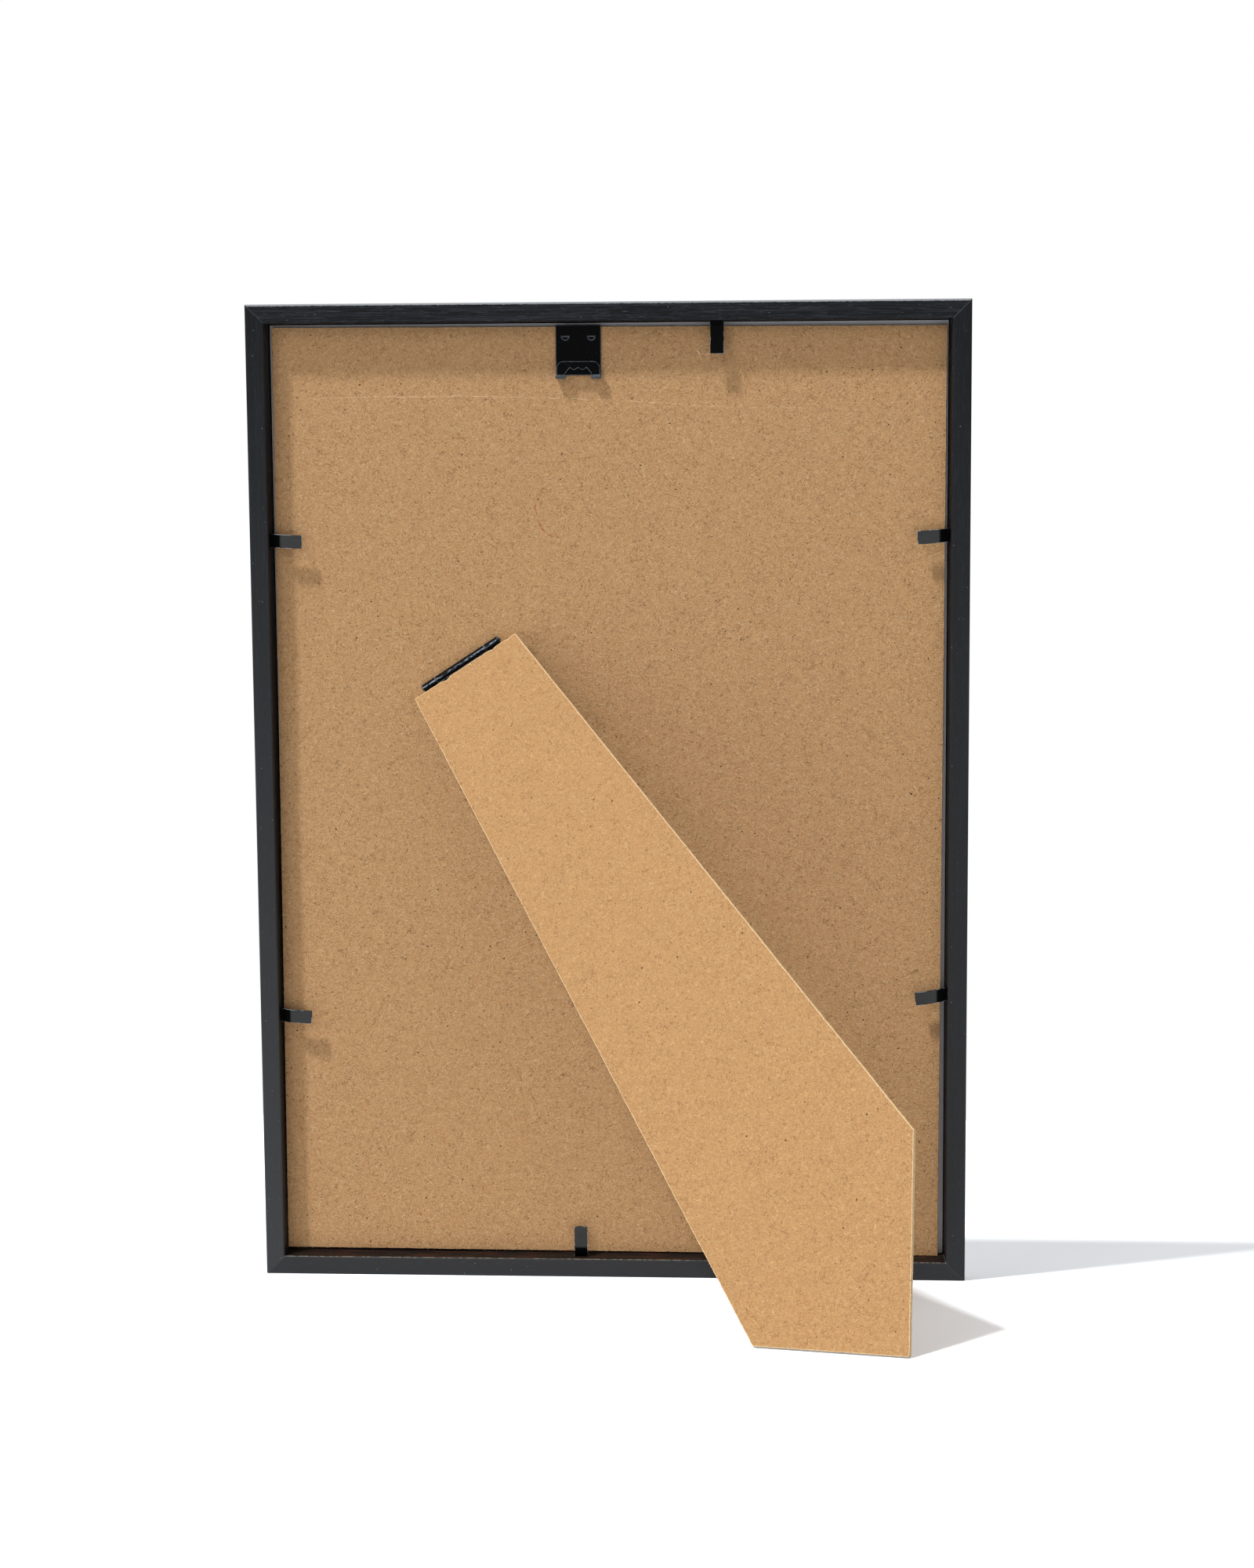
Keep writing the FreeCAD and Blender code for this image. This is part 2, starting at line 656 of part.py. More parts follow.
def make_strut(label):
    """Fibreboard strut with a foot edge for each way up, and the seats of its leaf's prongs."""
    body = new_body(label)
    sketch = new_sketch(body, "XY_Plane", STRUT_INNER)
    draw_polygon(sketch, strut_outline())
    pad(body, sketch, "sizes.strut_thickness")
    round_edges(
        body,
        "sizes.strut_corner",
        lambda edge: near(edge.Length, number("sizes.strut_thickness")),
    )
    for place in leaf_prongs(STRUT_LEAF_WIDTH, "sizes.strut_leaf_length"):
        sketch = new_sketch(body, "XY_Plane", STRUT_INNER)
        draw_polygon(sketch, prong_corners(place))
        pocket(body, sketch, "sizes.prong_depth", upwards=True)
    return body


def make_pin(label):
    """Hinge pin, along X in the hinge's axes."""
    pin = doc.addObject("Part::Cylinder", label)
    pin.Label = label
    pin.setExpression("Radius", "sizes.pin_radius")
    pin.setExpression("Height", "sizes.barrel_length + 2 * sizes.pin_proud")
    start = Vector(-number("sizes.barrel_length / 2 + sizes.pin_proud"), 0, 0)
    return pin, Placement(start, Rotation(Vector(0, 1, 0), 90))


# The hinge's axes on the board, closed and opened.
hinge_x, hinge_y = hinge_origin()
hinge_at = Vector(number(hinge_x), number(hinge_y), number(f"{BOARD_BACK} + {AXIS_LIFT}"))
hinge_place = Placement(hinge_at, Rotation(Vector(0, 0, 1), number("sizes.hinge_angle")))
opened = Placement(Vector(), Rotation(Vector(1, 0, 0), -number("sizes.strut_opening_angle")))
strut_place = hinge_place.multiply(opened)

# The lean: the ground touches the heel's inner edge and the bottom rail's eased rear arris.
heel = strut_place.multVec(
    Vector(number("sizes.strut_heel"), -number("sizes.strut_length"), number(STRUT_INNER))
)
arris = number("sizes.arris_radius")
rise = -number(HALF_HEIGHT) + arris - heel.y
reach = arris + heel.z
lean = math.degrees(math.asin(arris / math.hypot(rise, reach)) - math.atan2(rise, reach))
stand = Placement(Vector(), Rotation(Vector(1, 0, 0), 90 + lean))
ground = stand.multVec(heel).z

# The toe's length along the strut follows, because the whole foot edge stands on the ground.
toe_top = stand.multVec(
    strut_place.multVec(Vector(-number("sizes.strut_toe"), 0, number(STRUT_INNER)))
)
toe_way = stand.Rotation.multVec(strut_place.Rotation.multVec(Vector(0, -1, 0)))
toe_length = (ground - toe_top.z) / toe_way.z
toe_row = len(SIZES) + 1
sheet.set(f"A{toe_row}", "toe_length")
sheet.set(f"B{toe_row}", str(toe_length))
sheet.setAlias(f"B{toe_row}", "toe_length")
doc.recompute()

# The origin is under the middle of the space that the assembly takes, front to back.
heel_out = strut_place.multVec(
    Vector(
        number("sizes.strut_heel"),
        -number("sizes.strut_length"),
        number(f"{STRUT_INNER} + sizes.strut_thickness"),
    )
)
front_foot = Vector(0, -number(HALF_HEIGHT) + arris, number(FRONT) + arris)
rear = stand.multVec(heel_out).y
fore = stand.multVec(front_foot).y + arris
stand = Placement(Vector(0, -(rear + fore) / 2, -ground), stand.Rotation)

subparts = {}


def add(item, label, place):
    """Put one finished sub-part in its place on the leaning frame."""
    item.Placement = stand.multiply(place)
    subparts[label] = item


for label, side in SIDES.items():
    add(make_moulding(label, side), label, Placement())
for corner in CORNERS:
    label = f"corner_nail_{corner}"
    add(make_corner_nail(label, corner), label, Placement())

glazing, at = make_layer(
    "glazing_sheet",
    "sizes.glazing_play",
    "sizes.glazing_thickness",
    f"{GLAZING_BACK} - sizes.glazing_thickness",
)
add(glazing, "glazing_sheet", Placement(at, Rotation()))
insert, at = make_layer(
    "picture_insert", "sizes.insert_play", "sizes.insert_thickness", GLAZING_BACK
)
add(insert, "picture_insert", Placement(at, Rotation()))
add(make_backing_board("backing_board"), "backing_board", Placement())

for name, (side, place_share, tilt) in TABS.items():
    x, y = tab_origin(side, place_share)
    wall = Vector(number(x), number(y), number(TAB_LEVEL))
    place = Placement(wall, Rotation(Vector(0, 0, 1), INWARD[side] + tilt))
    back = Vector(
        -number("sizes.tab_root"), -number("sizes.tab_width / 2"), -number("sizes.tab_thickness / 2")
    )
    label = f"tab_root_{name}"
    add(make_tab_root(label, tilt), label, place.multiply(Placement(back, Rotation())))
    label = f"tab_blade_{name}"
    add(make_tab_blade(label, tilt), label, place)

add(make_hanger("sawtooth_hanger"), "sawtooth_hanger", Placement())
end_spans, middle_spans = knuckle_spans()
board_leaf = make_leaf(
    "hinge_leaf_board",
    BOARD_LEAF_WIDTH,
    "sizes.board_leaf_length",
    f"(0 - {AXIS_LIFT})",
    end_spans,
    middle_spans,
    prongs_down=True,
)
add(board_leaf, "hinge_leaf_board", hinge_place)
pin, lying = make_pin("hinge_pin")
add(pin, "hinge_pin", hinge_place.multiply(lying))
strut_leaf = make_leaf(
    "hinge_leaf_strut",
    STRUT_LEAF_WIDTH,
    "sizes.strut_leaf_length",
    f"({STRUT_INNER} - sizes.leaf_sheet)",
    middle_spans,
    end_spans,
    prongs_down=False,
)
add(strut_leaf, "hinge_leaf_strut", strut_place)
add(make_strut("strut_board"), "strut_board", strut_place)
doc.recompute()

for item in doc.Objects:
    if {"Invalid", "Error"} & set(item.State):
        raise RuntimeError(f"{item.Label} failed: {item.State}")
os.makedirs("parts", exist_ok=True)
for label, item in subparts.items():
    if item.Shape.isNull() or not item.Shape.isValid():
        raise RuntimeError(f"{label} has no valid shape")
    item.Shape.exportStep(f"parts/{label}.step")
    box = item.Shape.BoundBox
    print(
        f"{label}: {len(item.Shape.Solids)} solid, {item.Shape.Volume:.1f} mm3,"
        f" x {box.XMin:.1f} to {box.XMax:.1f}, y {box.YMin:.1f} to {box.YMax:.1f},"
        f" z {box.ZMin:.2f} to {box.ZMax:.1f}"
    )
print(f"lean {lean:.2f}, toe length {toe_length:.2f}, hinge at {hinge_at}")
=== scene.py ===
"""Looks of the easel back photo frame: finishes, softened edges, sawn boards, studio."""

import logging
import math
from dataclasses import dataclass, field, replace
from enum import Enum

import bmesh
import bpy
from mathutils import Matrix, Vector, noise


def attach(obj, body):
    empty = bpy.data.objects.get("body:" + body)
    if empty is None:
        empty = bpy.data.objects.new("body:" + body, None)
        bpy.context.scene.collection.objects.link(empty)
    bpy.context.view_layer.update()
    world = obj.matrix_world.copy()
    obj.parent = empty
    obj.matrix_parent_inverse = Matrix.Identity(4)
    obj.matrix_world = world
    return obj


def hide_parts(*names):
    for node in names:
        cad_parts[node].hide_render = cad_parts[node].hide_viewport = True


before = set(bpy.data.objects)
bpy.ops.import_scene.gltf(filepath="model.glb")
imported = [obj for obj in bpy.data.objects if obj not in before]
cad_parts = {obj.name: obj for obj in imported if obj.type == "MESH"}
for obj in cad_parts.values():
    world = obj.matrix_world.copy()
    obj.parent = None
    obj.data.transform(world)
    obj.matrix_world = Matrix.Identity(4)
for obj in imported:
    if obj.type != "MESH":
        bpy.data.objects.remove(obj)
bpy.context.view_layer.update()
logging.basicConfig(level=logging.INFO, format="%(message)s")
log = logging.getLogger("photo_frame")

MM = 0.001

Piece, Material = bpy.types.Object, bpy.types.Material
Tree, Node, Socket = bpy.types.NodeTree, bpy.types.Node, bpy.types.NodeSocket
Feed = Node | Socket | float | tuple | str | bool | Material
Point, Way = tuple[float, float], tuple[float, float, float]
# the kinds of node used most, the soft form of a ramp, and a product
MATH, RAMP, NOISE = "ShaderNodeMath", "ShaderNodeMapRange", "ShaderNodeTexNoise"
SMOOTH, TIMES = {"interpolation_type": "SMOOTHSTEP"}, {"operation": "MULTIPLY"}


def add(tree: Tree, kind: str, feeds: dict[str | int, Feed] | None = None, **settings) -> Node:
    """Adds a node to a tree, sets it and feeds its inputs.

    Args:
        tree: Node tree that gets the node.
        kind: Blender's type name of the node.
        feeds: Input name or number, with what goes in: a value, a socket, or a node's first one.
        **settings: Properties of the node itself.

    Returns:
        The new node.
    """
    node = tree.nodes.new(kind)
    for key, value in settings.items():
        setattr(node, key, value)
    for key, value in (feeds or {}).items():
        if isinstance(value, Node):
            value = value.outputs[0]
        if isinstance(value, Socket):
            tree.links.new(value, node.inputs[key])
        else:
            node.inputs[key].default_value = value
    return node


def within(tree: Tree, place: Feed, zero: Way, turn: Way, scale: Way) -> Node:
    """Measures a place in axes that have their own zero, turn in radians and scale."""
    feeds = {"Vector": place, "Location": zero, "Rotation": turn, "Scale": scale}
    return add(tree, "ShaderNodeMapping", feeds, vector_type="TEXTURE")


def linear(code: str) -> tuple[float, float, float, float]:
    """Turns an sRGB hex colour into the linear one that nodes take.

    Args:
        code: Colour such as "#b08a62".

    Returns:
        Linear red, green, blue and a full alpha.
    """
    parts = [int(code[at : at + 2], 16) / 255 for at in (1, 3, 5)]
    red, green, blue = (
        part / 12.92 if part <= 0.04045 else ((part + 0.055) / 1.055) ** 2.4 for part in parts
    )
    return red, green, blue, 1.0


@dataclass(frozen=True)
class Axes:
    """A piece's own axes: where its zero lies in the scene, in metres, and how they are turned."""

    zero: Vector
    turn: Matrix

    def at(self, x: float, y: float, z: float) -> Vector:
        """Scene place of a point given in these axes, in millimetres."""
        return self.zero + self.turn @ Vector((x, y, z)) * MM

    def inside(self, point: Vector) -> Vector:
        """Place in these axes, in millimetres, of a point of the scene."""
        return self.turn.inverted() @ (point - self.zero) / MM

    def millimetres(self, tree: Tree) -> Node:
        """Object coordinates turned into these axes, in millimetres."""
        place = add(tree, "ShaderNodeTexCoord").outputs["Object"]
        turn = tuple(self.turn.to_euler("XYZ"))
        return within(tree, place, tuple(self.zero), turn, (MM, MM, MM))


# The frame leans on its strut. Its back plane's middle, seen from behind: x right, y up, z out.
LEAN = math.radians(17.870079)
BACK = Axes(
    Vector((0.0, 15.176941, 147.652349)) * MM,
    Matrix.Rotation(math.pi / 2 + LEAN, 3, "X"),
)
# The hinge pin's middle, turned on the board, and the strut's slope from the board.
HINGE_TURN = math.radians(33.1)
STRUT_SLOPE = math.radians(33.0)
STRUT = Axes(
    BACK.at(-46.566203, 42.543756, -3.55),
    BACK.turn @ Matrix.Rotation(HINGE_TURN, 3, "Z") @ Matrix.Rotation(-STRUT_SLOPE, 3, "X"),
)
# Sizes on the back in mm: half the outside, the moulding's width, and the level of its lip.
HALF_WIDTH, HALF_HEIGHT = 112.0, 155.3
RIM_WIDTH = 6.0
LIP_BACK = -8.8
# Corners of a CAD mesh nearer than this, in mm, are one; an edge counts as sharp from so many degrees.
WELD = 0.002
CREASE = 33.0


class Grain(Enum):
    """Way that the foil's printed grain runs on a length of moulding."""

    ACROSS = 0.0
    UPRIGHT = math.pi / 2


class Marks:
    """Marks that lie on part of a surface."""

    def draw(self, tree: Tree, place: Node) -> Node:
        """Draws the marks.

        Args:
            tree: Node tree of the material.
            place: Coordinates in millimetres.

        Returns:
            Node whose value is 0 where the surface is bare and 1 on a mark.
        """
        raise NotImplementedError


@dataclass(frozen=True)
class Dashes(Marks):
    """Soft dashes that all run one way, such as fibres in a board or pores in a grain."""

    size: Point  # length and width in mm
    cover: float  # noise level above which a dash shows; 0.5 covers half
    start: float  # shift in mm that makes each layer its own
    soft: float  # width of a dash's edge, as noise level
    turn: float = 0.0  # way that they run, in radians

    def draw(self, tree: Tree, place: Node) -> Node:
        """Stretches a noise along the dashes and cuts it at their level."""
        length, width = self.size
        zero = (self.start, self.start * 0.7, self.start * 0.4)
        laid = within(tree, place, zero, (0.0, 0.0, self.turn), (length, width, width * 2))
        cloud = add(tree, NOISE, {"Vector": laid, "Scale": 1.0, "Detail": 1.0, "Roughness": 0.55})
        feeds = {"Value": cloud, "From Min": self.cover, "From Max": self.cover + self.soft}
        return add(tree, RAMP, feeds, **SMOOTH)


@dataclass(frozen=True)
class Curls(Marks):
    """Short curled hairs, where a slow noise crosses its middle."""

    bend: float  # size of a curl in mm
    width: float  # width of a hair in mm
    cover: float  # noise level above which stretches of hair show
    start: float  # shift in mm that makes each layer its own

    def draw(self, tree: Tree, place: Node) -> Node:
        """Draws the noise's middle line and leaves it out in places."""
        shift = (self.start, -self.start, self.start * 0.3)
        moved = add(tree, "ShaderNodeVectorMath", {0: place, 1: shift})
        feeds = {"Vector": moved, "Scale": 1 / self.bend, "Detail": 1.5, "Roughness": 0.4}
        off = apart(tree, add(tree, NOISE, feeds), 0.5)
        # the noise climbs by about 0.4 over one curl
        edge = 0.2 * self.width / self.bend
        line = add(tree, RAMP, {"Value": off, "From Min": edge, "From Max": edge * 0.4}, **SMOOTH)
        feeds = {"Vector": moved, "Scale": 0.8 / self.bend, "Detail": 0.0, "W": 1.0}
        patch = add(tree, NOISE, feeds, noise_dimensions="4D")
        there = add(tree, RAMP, {"Value": patch, "From Min": self.cover, "From Max": self.cover + 0.05})
        return add(tree, MATH, {0: line, 1: there}, **TIMES)


@dataclass(frozen=True)
class Specks(Marks):
    """Scattered round spots, cut through at any level and so of many sizes."""

    spacing: float  # mean distance in mm between places for a spot
    radius: float  # mm
    share: float = 0.9  # part of the places that hold one

    def draw(self, tree: Tree, place: Node) -> Node:
        """Draws a spot in the middle of most cells."""
        feeds = {"Vector": place, "Scale": 1 / self.spacing, "Randomness": 1.0}
        cells = add(tree, "ShaderNodeTexVoronoi", feeds)
        feeds = {
            "Value": cells.outputs["Distance"],
            "From Min": self.radius / self.spacing,
            "From Max": self.radius * 0.45 / self.spacing,
        }
        spot = add(tree, RAMP, feeds, **SMOOTH)
        pick = add(tree, "ShaderNodeSeparateColor", {0: cells.outputs["Color"]})
        chosen = add(tree, MATH, {0: pick, 1: self.share}, operation="LESS_THAN")
        return add(tree, MATH, {0: spot, 1: chosen}, **TIMES)


@dataclass(frozen=True)
class Scratch(Marks):
    """A fine line on a board, from one point to another in mm in the board's own axes."""

    start: Point
    end: Point
    bow: float  # mm that it bulges to its left
    width: float  # mm
    colour: str
    strength: float
    shiver: float = 1.4  # mm that it wanders from side to side

    def draw(self, tree: Tree, place: Node) -> Node:
        """Measures from a shivering parabola through both ends."""
        across, up = self.end[0] - self.start[0], self.end[1] - self.start[1]
        turn, scale = (0.0, 0.0, math.atan2(up, across)), (math.hypot(across, up), 1.0, 1.0)
        laid = within(tree, place, (*self.start, 0.0), turn, scale)
        axes = add(tree, "ShaderNodeSeparateXYZ", {0: laid}).outputs
        # the parabola is 4 * bow * x * (1 - x)
        rest = add(tree, MATH, {0: 1.0, 1: axes[0]}, operation="SUBTRACT")
        hump = add(tree, MATH, {0: axes[0], 1: rest}, **TIMES)
        off = add(tree, MATH, {0: hump, 1: -4.0 * self.bow, 2: axes[1]}, operation="MULTIPLY_ADD")
        sway = add(tree, NOISE, {"Vector": place, "Scale": 0.25, "Detail": 3.0})
        off = add(tree, MATH, {0: sway, 1: self.shiver, 2: off}, operation="MULTIPLY_ADD")
        off = apart(tree, off, self.shiver / 2)
        width = self.width
        line = add(tree, RAMP, {"Value": off, "From Min": width, "From Max": width * 0.3}, **SMOOTH)
        # it fades towards both ends and comes and goes between
        there = add(tree, RAMP, {"Value": hump, "From Min": 0.0, "From Max": 0.12})
        worn = add(tree, NOISE, {"Vector": place, "Scale": 0.5, "Detail": 3.0})
        feeds = {"Value": worn, "From Min": 0.38, "From Max": 0.58, "To Max": there}
        return add(tree, MATH, {0: line, 1: add(tree, RAMP, feeds)}, **TIMES)


def apart(tree: Tree, one: Feed, other: Feed) -> Node:
    """How far two values lie apart."""
    gap = add(tree, MATH, {0: one, 1: other}, operation="SUBTRACT")
    return add(tree, MATH, {0: gap}, operation="ABSOLUTE")


def rim(tree: Tree, place: Node) -> tuple[Node, Node]:
    """Measures a point of the back from the frame's outer edge.

    Args:
        tree: Node tree of the material.
        place: Coordinates on the back, in millimetres.

    Returns:
        Distance to the nearest outer edge, and how far the point is off the corner's mitre.
    """
    axes = add(tree, "ShaderNodeSeparateXYZ", {0: place})
    depths = {}
    for number, half in enumerate((HALF_WIDTH, HALF_HEIGHT)):
        off = add(tree, MATH, {0: axes.outputs[number]}, operation="ABSOLUTE")
        depths[number] = add(tree, MATH, {0: half, 1: off}, operation="SUBTRACT")
    return add(tree, MATH, depths, operation="MINIMUM"), apart(tree, depths[0], depths[1])


def summed(tree: Tree, parts: list[tuple[Node, float]]) -> Node:
    """Adds patterns into one height, each with its share of it."""
    total: Feed = 0.0
    for pattern, share in parts:
        total = add(tree, MATH, {0: pattern, 1: share, 2: total}, operation="MULTIPLY_ADD")
    return total


def blank(name: str) -> tuple[Material, Tree]:
    """A new material and its tree, which is still empty."""
    material = bpy.data.materials.new(name)
    material.use_nodes = True
    material.node_tree.nodes.clear()
    return material, material.node_tree


def finished(
    material: Material,
    ground: str,
    layers: list[tuple[Node, str, float]],
    coat: dict[str, Feed],
    height: Node,
    relief: float,
) -> Material:
    """Closes a material with its colours, its shader and its relief.

    Args:
        material: Material whose tree holds the patterns.
        ground: Hex colour underneath.
        layers: For each colour laid over it, the pattern, the hex value and the strength.
        coat: What else goes into the Principled shader.
        height: Relief, from about 0 to 1.
        relief: Depth in millimetres that a height of 1 stands for.

    Returns:
        The same material.
    """
    tree = material.node_tree
    colour: Feed = linear(ground)
    for pattern, tint, strength in layers:
        amount = add(tree, MATH, {0: pattern, 1: strength}, **TIMES)
        feeds = {0: amount, 6: colour, 7: linear(tint)}
        colour = add(tree, "ShaderNodeMix", feeds, data_type="RGBA").outputs[2]
    raised = {"Height": height, "Distance": relief * MM, "Strength": 1.0}
    feeds = {"Base Color": colour, "Normal": add(tree, "ShaderNodeBump", raised), **coat}
    shader = add(tree, "ShaderNodeBsdfPrincipled", feeds)
    add(tree, "ShaderNodeOutputMaterial", {"Surface": shader})
    return material


@dataclass(frozen=True)
class FoilWrap:
    """Moulding wrapped in paper foil, printed as a fine dark wood and varnished satin.

    The print gives fine grey-blue streaks along each length on a charcoal ground, and the cut
    mitres show a thin pale line. Light is painted into it as well: the foil pales towards the
    foot of the frame as painted light from the floor, the inner walls take a brown painted
    reflection of the board, the top rail's upper arris a pale painted highlight, and the bottom rail
    a dotted painted highlight on its inner arris and reddish painted reflections on its wall.
    """

    ground: str = "#0e0f12"
    streak: str = "#30353c"
    fleck: str = "#8b9197"
    mitre: str = "#666a6e"
    # painted highlight on the top rail's upper arris
    sheen: str = "#85888c"
    # painted reflection of the tan board on the inner walls
    wall_reflection: str = "#120c08"
    # painted reflection and painted highlight of the bottom rail's inner wall and arris
    reflected_reddish: str = "#3a1f15"
    arris_highlight: str = "#a39373"
    # painted light from the floor, mixed in more towards the foot of the frame
    painted_floor_light: str = "#5a5b5d"
    roughness: float = 0.4
    shine: float = 0.1
    broad: Dashes = Dashes((34.0, 0.42), 0.5, 3.0, 0.16)
    fine: Dashes = Dashes((9.0, 0.16), 0.56, 11.0, 0.1)
    pores: Dashes = Dashes((3.2, 0.13), 0.66, 23.0, 0.05)
    dust: Specks = Specks(2.7, 0.18)
    # dots of the painted arris highlight, and streaks of the painted reflection on the wall
    arris_line_bits: Dashes = Dashes((1.3, 0.9), 0.42, 41.0, 0.2)
    reflected_streaks: Dashes = Dashes((14.0, 0.5), 0.5, 61.0, 0.1)
    painted_floor_light_reach: float = 150.0  # mm up and down the back
    arris_width: float = 0.42  # mm

    def material(self, node: str, grain: Grain, strength: float, painted_lift: float) -> Material:
        """Makes the foil for a length whose grain runs one way.

        Args:
            node: Name of the length.
            grain: Way of the grain.
            strength: How plainly the print shows.
            painted_lift: How far painted light from the floor pales the foil at the foot of the frame.

        Returns:
            The material.
        """
        material, tree = blank(f"foil_wrapped_{node}")
        place = BACK.millimetres(tree)
        broad, fine, pores = (
            replace(marks, turn=grain.value).draw(tree, place)
            for marks in (self.broad, self.fine, self.pores)
        )
        up, level = add(tree, "ShaderNodeSeparateXYZ", {0: place}).outputs[1:]
        depth, off_mitre = rim(tree, place)
        feeds = {"Value": off_mitre, "From Min": 0.24, "From Max": 0.08}
        mitres = add(tree, RAMP, feeds, **SMOOTH)
        # painted reflection: the inner walls behind the lip are tinted dark brown, standing in for the
        # board they mirror
        feeds = {"Value": level, "From Min": LIP_BACK - 0.05, "From Max": LIP_BACK + 0.05}
        behind = add(tree, RAMP, feeds)
        feeds = {"Value": depth, "From Min": RIM_WIDTH - 0.07, "From Max": RIM_WIDTH - 0.01}
        wall = add(tree, RAMP, {**feeds, "To Max": behind})
        # painted light: the foil is mixed towards pale grey down the back, standing in for floor light
        feeds = {"Value": up, "From Min": self.painted_floor_light_reach, "From Max": -self.painted_floor_light_reach}
        painted_floor_light = add(tree, RAMP, {**feeds, "To Min": 0.01, "To Max": painted_lift})
        near = add(tree, RAMP, {"Value": level, "From Min": -0.5, "From Max": -0.25})
        layers = [
            (painted_floor_light, self.painted_floor_light, 1.0),
            (broad, self.streak, 0.3 * strength),
            (fine, self.streak, 0.65 * strength),
            (pores, self.fleck, 0.16 * strength),
            (wall, self.wall_reflection, 0.9),
            (self.dust.draw(tree, place), self.fleck, 0.6),
            (mitres, self.mitre, 0.45),
        ]
        if node == "rail_top":
            # painted highlight: a ragged pale grey band along the upper arris stands in for light on
            # the rail's top face
            ragged = add(tree, NOISE, {"Vector": place, "Scale": 0.9, "Detail": 3.0})
            up = add(tree, MATH, {0: ragged, 1: 0.5, 2: up}, operation="MULTIPLY_ADD")
            edge = HALF_HEIGHT - self.arris_width
            feeds = {"Value": up, "From Min": edge, "From Max": edge + 0.12, "To Max": near}
            layers.append((add(tree, RAMP, feeds, **SMOOTH), self.sheen, 0.9))
        if node == "rail_bottom":
            # painted highlight and reflection: a dotted pale line along the inner arris, and reddish
            # streaks painted on the inner wall
            feeds = {"Value": depth, "From Min": RIM_WIDTH - 0.2, "From Max": RIM_WIDTH - 0.13}
            arris_line = add(tree, RAMP, {**feeds, "To Max": near}, **SMOOTH)
            for marks, area, colour, share in (
                (self.arris_line_bits, arris_line, self.arris_highlight, 0.34),
                (self.reflected_streaks, wall, self.reflected_reddish, 0.45),
            ):
                feeds = {0: marks.draw(tree, place), 1: area}
                layers.append((add(tree, MATH, feeds, **TIMES), colour, share))
        height = summed(tree, [(fine, 0.5), (broad, 0.3), (pores, 0.4), (mitres, -1.0)])
        coat = {"Roughness": self.roughness, "Specular IOR Level": self.shine}
        return finished(material, self.ground, layers, coat, height, 0.02)


@dataclass(frozen=True)
class Fibreboard:
    """Thin dry-process fibreboard, pressed from wood fibres and sanded.

    Short pale and brown fibres lie every way over a tan ground, with small dark bark specks,
    and the surface is matt with a faint tooth.
    """

    name: str
    ground: str
    pale: str
    brown: str
    speck: str = "#3c2617"
    fibre: Point = (1.4, 0.24)  # length and width in mm
    fibre_turns: tuple[float, ...] = (12, 57, 103, 148)  # degrees
    fibre_bow: float = 2.4  # mm
    contrast: float = 1.0
    roughness: float = 0.86
    shine: float = 0.2
    brown_hairs: Curls = Curls(1.5, 0.2, 0.52, 3.0)
    dark_hairs: Curls = Curls(2.1, 0.18, 0.6, 31.0)
    pale_hairs: Curls = Curls(1.6, 0.17, 0.52, 57.0)
    small_dots: Specks = Specks(0.9, 0.16)
    dots: Specks = Specks(2.0, 0.24)
    large_dots: Specks = Specks(5.0, 0.38)
    scratches: tuple[Scratch, ...] = ()

    def material(self, axes: Axes) -> Material:
        """Makes the board's finish.

        Args:
            axes: Axes of the board that it lies on.

        Returns:
            The material.
        """
        material, tree = blank(self.name)
        straight = axes.millimetres(tree)
        # fibres bow a little, over about 5 mm
        drift = add(tree, NOISE, {"Vector": straight, "Scale": 0.2, "Detail": 1.0})
        feeds = {0: drift.outputs["Color"], 1: (self.fibre_bow,) * 3, 2: straight}
        place = add(tree, "ShaderNodeVectorMath", feeds, operation="MULTIPLY_ADD")
        fibres = []
        for number, degrees in enumerate(self.fibre_turns):
            marks = Dashes(self.fibre, 0.54, 7.0 * number + 2, 0.1, math.radians(degrees))
            fibres.append(marks.draw(tree, place))
        pale_hairs = self.pale_hairs.draw(tree, straight)
        dots = self.dots.draw(tree, place)
        mottle = add(tree, NOISE, {"Vector": straight, "Scale": 0.07, "Detail": 3.0})
        felt = add(tree, NOISE, {"Vector": straight, "Scale": 1.7, "Detail": 3.0})
        tooth = add(tree, RAMP, {"Value": felt, "From Min": 0.35, "From Max": 0.65})
        amount = 0.33 * self.contrast
        layers = [(mottle, self.brown, 0.12), (tooth, self.brown, 0.14 * self.contrast)]
        for number, pattern in enumerate(fibres):
            odd = number % 2
            layers.append((pattern, self.brown if odd else self.pale, amount if odd else 0.7 * amount))
        layers += [
            (self.brown_hairs.draw(tree, straight), self.brown, 0.62 * self.contrast),
            (self.dark_hairs.draw(tree, straight), self.speck, 0.3 * self.contrast),
            (pale_hairs, self.pale, 0.32 * self.contrast),
            (self.small_dots.draw(tree, place), self.speck, 0.34 * self.contrast),
            (dots, self.speck, 0.8 * self.contrast),
            (self.large_dots.draw(tree, place), self.speck, 0.9),
        ]
        layers += [(mark.draw(tree, straight), mark.colour, mark.strength) for mark in self.scratches]
        heights = [(pattern, 0.3) for pattern in fibres]
        heights += [(pale_hairs, 0.5), (tooth, -0.5), (dots, -0.4)]
        coat = {"Roughness": self.roughness, "Specular IOR Level": self.shine}
        return finished(material, self.ground, layers, coat, summed(tree, heights), 0.06)


